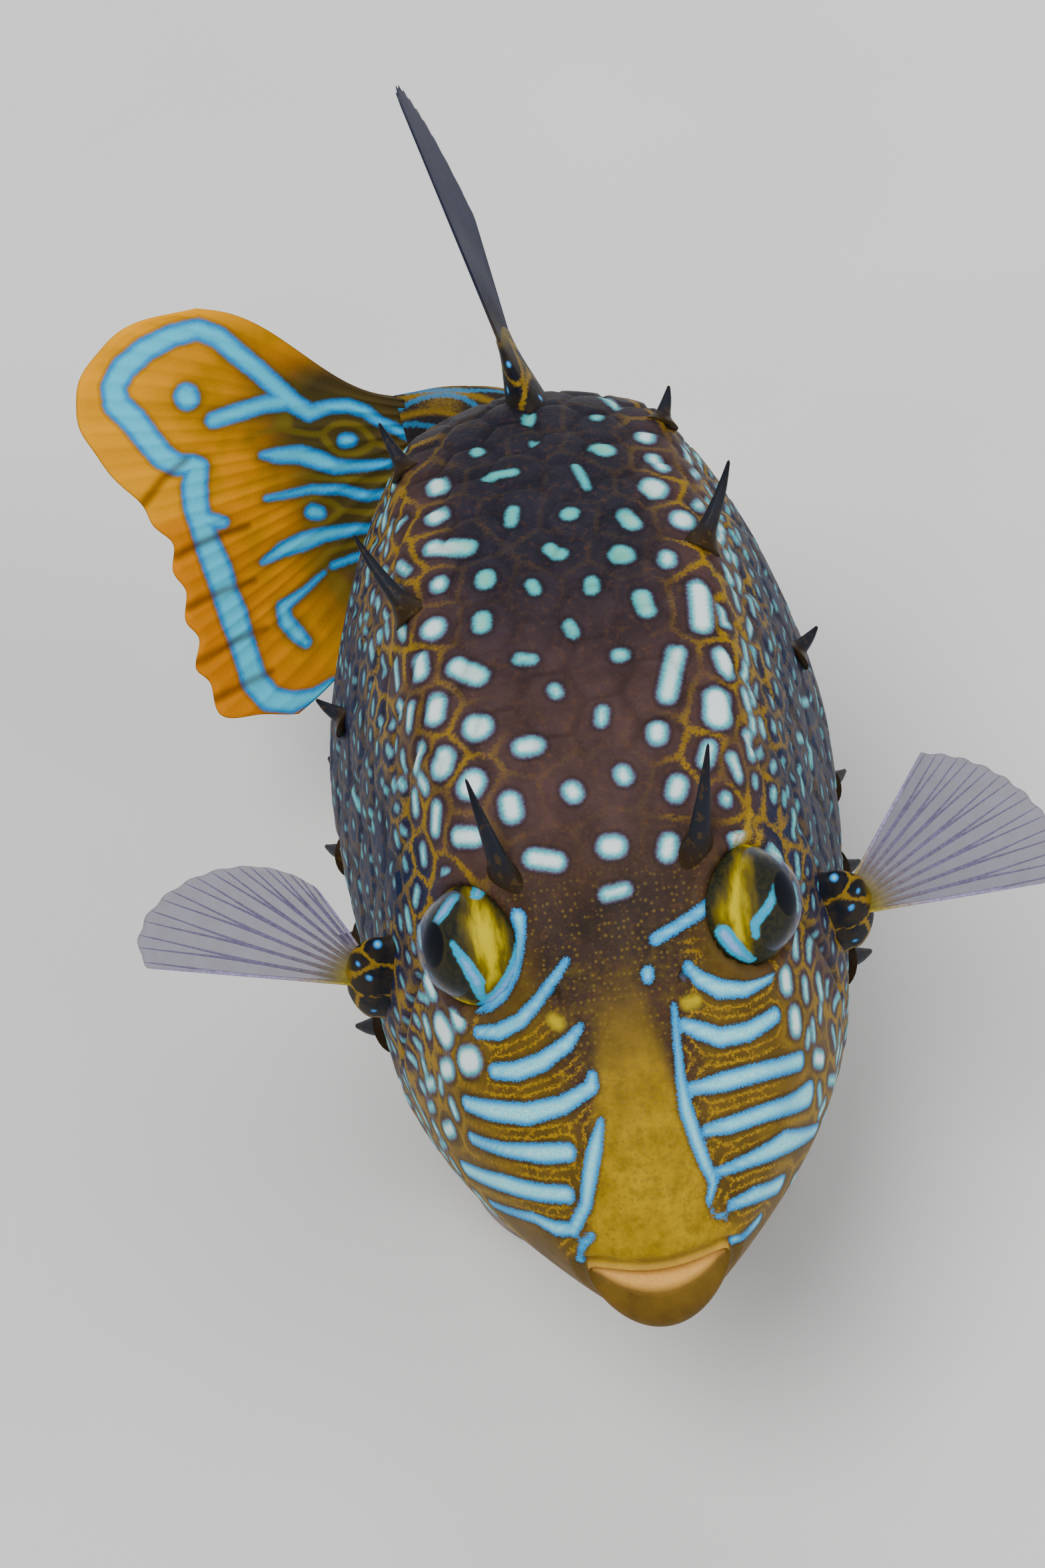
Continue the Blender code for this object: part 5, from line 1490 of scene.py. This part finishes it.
def make_pectorals():
    """Pectoral fins: a spotted fleshy base with yellow ray roots and a clear lilac fan."""
    web_finish = web_paint("pectoral_web", PECTORAL_WEB, PECTORAL_ALPHA)
    paints = (web_finish, ray_paint("pectoral_rays", PECTORAL_RAYS))
    behind = np.array((0.0, math.cos(PECTORAL_SLOPE), math.sin(PECTORAL_SLOPE)))
    for side, word, sizes in ((1, "left", PECTORAL_LEFT), (-1, "right", PECTORAL_RIGHT)):
        reach, turn, spread, fall = sizes
        node = "pectoral_fin_" + word
        corner = PECTORAL_CORNER if side > 0 else CORNERS - PECTORAL_CORNER
        out = shell_normal(PECTORAL_S, corner)
        across = np.array((float(side), 0.0, 0.0))
        hub = shell(PECTORAL_S, corner) + 2.6 * out + np.array((0.0, 0.3, 0.2))

        def root(w, hub=hub, across=across, out=out):
            return hub - 0.8 * out + w[:, None] * (behind * 0.9 - across * 0.4)

        def tip(w, hub=hub, across=across, reach=reach, turn=turn, spread=spread, fall=fall):
            length = reach * (1 - fall * ((w + 1) / 2) ** 1.4) * (1 - 0.12 * np.maximum(-w, 0) ** 4)
            angle = turn + spread * (w + 1) / 2
            return hub + length[:, None] * (np.cos(angle)[:, None] * across + np.sin(angle)[:, None] * behind)

        normal = np.cross(across, behind)
        make_rayed_fin(node, root, tip, normal, PECTORAL_RAY_COUNT, PECTORAL_RAY_HALF, PECTORAL_BOW, paints)
        make_lobe(node, side, corner, out)


def make_lobe(node, side, corner, out):
    """The fleshy base of a pectoral fin, rooted in the flank."""

    def place(u, v):
        height = np.interp(v, np.linspace(0, 1, len(LOBE_HEIGHTS)), LOBE_HEIGHTS)
        width = through(np.linspace(0, 1, len(LOBE_WIDTHS)), LOBE_WIDTHS, v)
        width = width * np.sqrt(np.clip(v / 0.03, 0, 1))
        turn = 2 * math.pi * u
        s = PECTORAL_S + LOBE_HALF_S * width * np.cos(turn)
        at = corner + side * LOBE_HALF_CORNER * width * np.sin(turn)
        foot = shell(s, at) + 0.3 * shell_normal(s, at)
        return foot + height[:, None] * (out + np.array(LOBE_LEAN) * height[:, None] / 8)

    make_flesh(node + "_base", node, place, (72, 48), LOBE_SPOTS)


def eye_marks(side, tree):
    """An eyeball's gold patches and cyan streaks: the photograph's, and their like round the hidden side."""
    gold = strokes_on(tree, FACE_VIEW, EYE_GOLD[side])
    cyan = strokes_on(tree, FACE_VIEW, EYE_CYAN[side])
    axis = eye_axis(side)
    toward = unit(-AHEAD + (AHEAD @ axis) * axis)
    across = np.cross(axis, toward)

    def polar(turn, lean):
        a, b = math.radians(turn), math.radians(lean)
        way = math.cos(b) * axis + math.sin(b) * (math.cos(a) * toward + math.sin(a) * across)
        return eye_centre(side) + EYE_RADIUS * way

    for made, (turns, bends, widths) in ((gold, HIDDEN_GOLD), (cyan, HIDDEN_CYAN)):
        for turn in turns:
            made.append((np.array([polar(turn + bend, lean) for bend, lean in bends]), np.array(widths)))
    return gold, cyan


def make_eyes():
    """Eyeballs with a dark pupil, gold iris patches and cyan streaks, each under a clear cornea."""
    finish = eye_paint()
    glass = Paint("cornea", CORNEA_REFLECTION_GREY, 0.06, IOR=1.3)
    glass.join(glass.field("rim_reflection"), glass.shader.inputs["Alpha"])
    for side, word in ((1, "left"), (-1, "right")):
        node = "eye_" + word
        centre = eye_centre(side)
        axis = eye_axis(side)
        turn = Vector(axis).to_track_quat("Z", "Y").to_matrix()
        ball = bmesh.new()
        bmesh.ops.create_uvsphere(ball, u_segments=96, v_segments=64, radius=EYE_RADIUS)
        bmesh.ops.rotate(ball, verts=ball.verts, cent=(0, 0, 0), matrix=turn)
        bmesh.ops.translate(ball, verts=ball.verts, vec=centre)
        spots, *_ = read(ball)
        gold, cyan = eye_marks(side, BVHTree.FromBMesh(ball))
        from_pupil = np.arccos(np.clip((spots - centre) @ axis / EYE_RADIUS, -1, 1)) * EYE_RADIUS
        fields = {
            "gold": stroke_field(spots, gold)[0],
            "cyan": stroke_field(spots, cyan)[0],
            "pupil": from_pupil,
        }
        piece(node + "_ball", [ball], finish, (node,), fields)
        dome = cornea_dome(turn)
        places = np.array([vert.co for vert in dome.verts])
        # Painted reflection: the cornea turns pale and less clear where the camera's view grazes it
        facing = unit(places - CORNEA_SHIFT * axis) @ -AHEAD
        rim_reflection = mix(CORNEA_CLEAR, CORNEA_EDGE, np.exp(-(((facing - REFLECTION_FACING) / REFLECTION_SPREAD) ** 2)))
        bmesh.ops.translate(dome, verts=dome.verts, vec=centre)
        bmesh.ops.recalc_face_normals(dome, faces=dome.faces)
        piece(node + "_cornea", [dome], glass.material, (node,), {"rim_reflection": rim_reflection})


def cornea_dome(turn):
    """The part of a sphere that bulges from the eyeball, closed behind and turned with the eye."""
    dome = bmesh.new()
    bmesh.ops.create_uvsphere(dome, u_segments=96, v_segments=64, radius=CORNEA_RADIUS)
    bmesh.ops.translate(dome, verts=dome.verts, vec=(0, 0, CORNEA_SHIFT))
    meet = (EYE_RADIUS**2 + CORNEA_SHIFT**2 - CORNEA_RADIUS**2) / (2 * CORNEA_SHIFT)
    whole = dome.verts[:] + dome.edges[:] + dome.faces[:]
    level = (0, 0, meet - CORNEA_SUNK)
    bmesh.ops.bisect_plane(dome, geom=whole, plane_co=level, plane_no=(0, 0, 1), clear_inner=True)
    bmesh.ops.contextual_create(dome, geom=[edge for edge in dome.edges if edge.is_boundary])
    bmesh.ops.rotate(dome, verts=dome.verts, cent=(0, 0, 0), matrix=turn)
    return dome


def eye_paint():
    """Dark olive iris with streaked gold patches and cyan streaks round a black pupil."""
    paint = Paint("iris", IRIS_BROWN, IRIS_GLOSS[0], Specular_IOR_Level=IRIS_GLOSS[1])
    fine = paint.noise(2.4, 3.0, 0.6)
    streaks = paint.noise(1.5, 3.0, 0.6, (1, 0.22, 0.3))
    paint.colour = paint.blend(paint.rise(fine, 0.3, 0.7), IRIS_DARK, IRIS_OLIVE)
    paint.coats(paint.ragged("gold", streaks, 0.35), IRIS_GOLD_COATS)
    paint.coats(paint.ragged("cyan", fine, 0.08), IRIS_CYAN_COATS)
    paint.coats("pupil", PUPIL_COATS)
    return paint.finish()


def make_horns():
    """The two brow horns, dark and smooth with a streaked root."""
    finish = horn_paint()
    for side, word in ((1, "left"), (-1, "right")):
        tip = np.array((side * HORN_TIP[0], HORN_TIP[1], HORN_TIP[2]))
        at = HORN_CORNER if side > 0 else CORNERS - HORN_CORNER
        seat = shell(HORN_STATION, at)
        foot = seat - HORN_SUNK * shell_normal(HORN_STATION, at)
        ahead = shell(HORN_STATION - HORN_RADIUS * 1.1, at) - seat
        beside = shell(HORN_STATION, at + HORN_SPREAD) - seat

        def place(u, v, foot=foot, tip=tip, ahead=ahead, beside=beside):
            turn = 2 * math.pi * u
            width = np.interp(v, *HORN_TAPER) * np.sqrt(np.clip(v / 0.01, 0, 1))
            middle = mix(foot, tip, v[:, None]) + np.array(HORN_BOW) * np.sin(math.pi * v)[:, None]
            return middle + width[:, None] * (np.cos(turn)[:, None] * ahead + np.sin(turn)[:, None] * beside)

        shape = grid(place, 32, 60)
        node = "brow_horn_" + word
        piece(node + "_fine", [shape], finish, (node,), {"out": read(shape)[3]})


def horn_paint():
    """Dark horn with a brown root, a black tip and faint lengthwise streaks."""
    paint = Paint("horn", HORN_BROWN, HORN_GLOSS[0], Specular_IOR_Level=HORN_GLOSS[1])
    streak = paint.noise(1.6, 3.0, 0.6, (1, 1, 0.25))
    paint.colour = paint.blend(paint.rise("out", 0.05, 0.4), HORN_ROOT, HORN_GREY)
    paint.coat(paint.rise(streak, 0.56, 0.68, 0.0, 0.3), HORN_STREAK)
    paint.coat(paint.rise("out", 0.55, 1.0, 0.0, 0.7), HORN_BLACK)
    paint.bump(streak, 0.08, 0.4)
    return paint.finish()


def make_spines():
    """The carapace spines, each flaring into the shell that it grows from."""
    shapes = []
    for corner, rows in ((1, ROOF_SPINES), (2, FLANK_SPINES), (3, KEEL_SPINES)):
        for side in (1, -1):
            for sizes in rows[side] if corner == 1 else rows:
                shapes.append(grid(spine_place(corner, side, *sizes), 28, 36))
    piece("shell_spines", shapes, horn_paint(), ("trunk",), {"out": joined_out(shapes)})


def spine_place(corner, side, s, length, radius, lean):
    """A tapered, slightly bowed spine on a corner of the shell, leaning back by the given angle."""
    at = corner if side > 0 else CORNERS - corner
    back = np.array((0.0, 1.0, 0.0))
    root = shell(s, at)
    angle = math.radians(lean)
    axis = unit(math.cos(angle) * shell_normal(s, at) + math.sin(angle) * back)
    beside = unit(np.cross(axis, back))
    above = np.cross(axis, beside)

    def place(u, v):
        turn = 2 * math.pi * u
        share = mix(-SPINE_SUNK, 1.0, v)
        width = np.interp(share, *SPINE_TAPER) * np.sqrt(np.clip(v / 0.01, 0, 1))
        bow = above * (SPINE_BOW * length * np.sin(math.pi * np.maximum(share, 0)))[:, None]
        ring = np.cos(turn)[:, None] * beside + np.sin(turn)[:, None] * above
        return root + axis * (length * share)[:, None] + bow + (radius * width)[:, None] * ring

    return place


def stand_wood():
    """Satin dark wood with growth rings and fine pores along its length."""
    paint = Paint("stand_wood", WOOD_BROWN, 0.34, Coat_Weight=0.35, Coat_Roughness=0.18)
    waves = paint.add("TexWave", paint.mapped(WOOD_WAVES), wave_type="RINGS", rings_direction="Y")
    waves.inputs["Scale"].default_value = 0.28
    waves.inputs["Distortion"].default_value = 5.0
    waves.inputs["Detail"].default_value = 3.0
    pores = paint.noise(2.2, 2.0, 0.6, (1, 0.06, 1))
    paint.colour = paint.blend(waves.outputs[0], WOOD_DARK, WOOD_LIGHT)
    paint.coat(paint.rise(pores, 0.56, 0.66, 0.0, 0.6), WOOD_PORE)
    paint.bump(pores, 0.05, 0.35)
    return paint.finish()


def stand_steel():
    """Steel brushed along the rods."""
    paint = Paint("stand_steel", STEEL_GREY, 0.26, Metallic=1.0)
    brushed = paint.noise(5.0, 2.0, 0.6, (1, 1, 0.05))
    paint.colour = paint.blend(paint.rise(brushed, 0.3, 0.7), STEEL_DARK, STEEL_LIGHT)
    paint.bump(brushed, 0.03, 0.3)
    return paint.finish()


def make_stand():
    """The rounded wooden base and its two steel rods, each in a small collar."""
    low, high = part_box("stand_base")
    base = bmesh.new()
    bmesh.ops.create_cube(base, size=1.0)
    bmesh.ops.scale(base, verts=base.verts, vec=high - low)
    bmesh.ops.translate(base, verts=base.verts, vec=(low + high) / 2)
    upright = [edge for edge in base.edges if abs(edge.verts[0].co.z - edge.verts[1].co.z) > 1e-6]
    bevel_edges(base, upright, BASE_CORNER, 28)
    rim = [edge for edge in base.edges if min(vert.co.z for vert in edge.verts) > high.z - 1e-5]
    bevel_edges(base, rim, BASE_RIM, 6)
    foot = [edge for edge in base.edges if max(vert.co.z for vert in edge.verts) < low.z + 1e-5]
    bevel_edges(base, foot, BASE_FOOT, 3)
    bmesh.ops.transform(base, matrix=TO_FRAME.inverted(), verts=base.verts)
    piece("stand_base_fine", [base], stand_wood(), ("stand_base",), sharp=40)
    steel = stand_steel()
    for number, s in enumerate(ROD_STATIONS, 1):
        floor = high.z / MM - FISH_LEVEL
        top = float(shell(s, 4.0)[2]) + ROD_SUNK
        outline = [(radius, floor + rise) for radius, rise in COLLAR] + [(ROD_RADIUS, top - 0.05), (0.0, top)]
        rod = bmesh.new()
        line = [rod.verts.new((radius, s, z)) for radius, z in outline]
        edges = [rod.edges.new(pair) for pair in zip(line, line[1:])]
        whole = line + edges
        turn = 2 * math.pi
        bmesh.ops.spin(rod, geom=whole, cent=(0, s, 0), axis=(0, 0, 1), angle=turn, steps=48, use_merge=True)
        bmesh.ops.remove_doubles(rod, verts=rod.verts, dist=0.002)
        bmesh.ops.recalc_face_normals(rod, faces=rod.faces)
        node = f"stand_rod_{number}"
        piece(node + "_fine", [rod], steel, (node,), sharp=35)


def bevel_edges(shape, edges, width, segments):
    """Rounds the edges by the width in millimetres, on a shape that is in metres."""
    bmesh.ops.bevel(
        shape, geom=edges, offset=width * MM, segments=segments, profile=0.5, affect="EDGES", material=-1
    )


def show(name, data):
    """Puts a lamp, camera or mesh in the scene."""
    made = bpy.data.objects.new(name, data)
    bpy.context.scene.collection.objects.link(made)
    return made


def make_studio():
    """A plain pale floor, soft studio light and the camera."""
    floor = bmesh.new()
    bmesh.ops.create_grid(floor, x_segments=1, y_segments=1, size=12.0)
    mesh = bpy.data.meshes.new("floor")
    floor.to_mesh(mesh)
    floor.free()
    paint = Paint("pale_floor", FLOOR_PALE, 0.6)
    paint.colour = paint.blend(paint.rise(paint.noise(0.02, 2.0), 0.3, 0.7), FLOOR_LOW, FLOOR_HIGH)
    mesh.materials.append(paint.finish())
    show("floor", mesh)
    key = bpy.data.lights.new("key_light", "SUN")
    key.energy = KEY_POWER
    key.angle = KEY_SPREAD
    show("key_light", key).rotation_euler = Vector(KEY_FROM).to_track_quat("Z", "Y").to_euler()
    for name, place, size, power in FILLS:
        lamp = bpy.data.lights.new(name, "AREA")
        lamp.shape = "DISK"
        lamp.size = size
        lamp.energy = power
        holder = show(name, lamp)
        holder.location = place
        holder.rotation_euler = Vector(place).to_track_quat("Z", "Y").to_euler()
    world = bpy.data.worlds.new("studio")
    world.use_nodes = True
    sky = world.node_tree.nodes["Background"]
    sky.inputs["Color"].default_value = SKY_PALE
    sky.inputs["Strength"].default_value = WORLD_LIGHT
    bpy.context.scene.world = world

    view = bpy.data.cameras.new("camera")
    view.lens = SENSOR * FOCAL / PHOTO_HEIGHT
    view.sensor_width = SENSOR
    view.clip_start = 0.01
    camera = show("camera", view)
    placed = Matrix(np.column_stack([CAMERA_RIGHT, CAMERA_UP, -AHEAD]).tolist()).to_4x4()
    placed.translation = TO_FRAME @ Vector(CAMERA_PLACE)
    camera.matrix_world = placed
    bpy.context.scene.camera = camera


make_studio()
make_skin()
make_spines()
make_tail()
make_median_fins()
make_pectorals()
make_eyes()
make_horns()
make_stand()
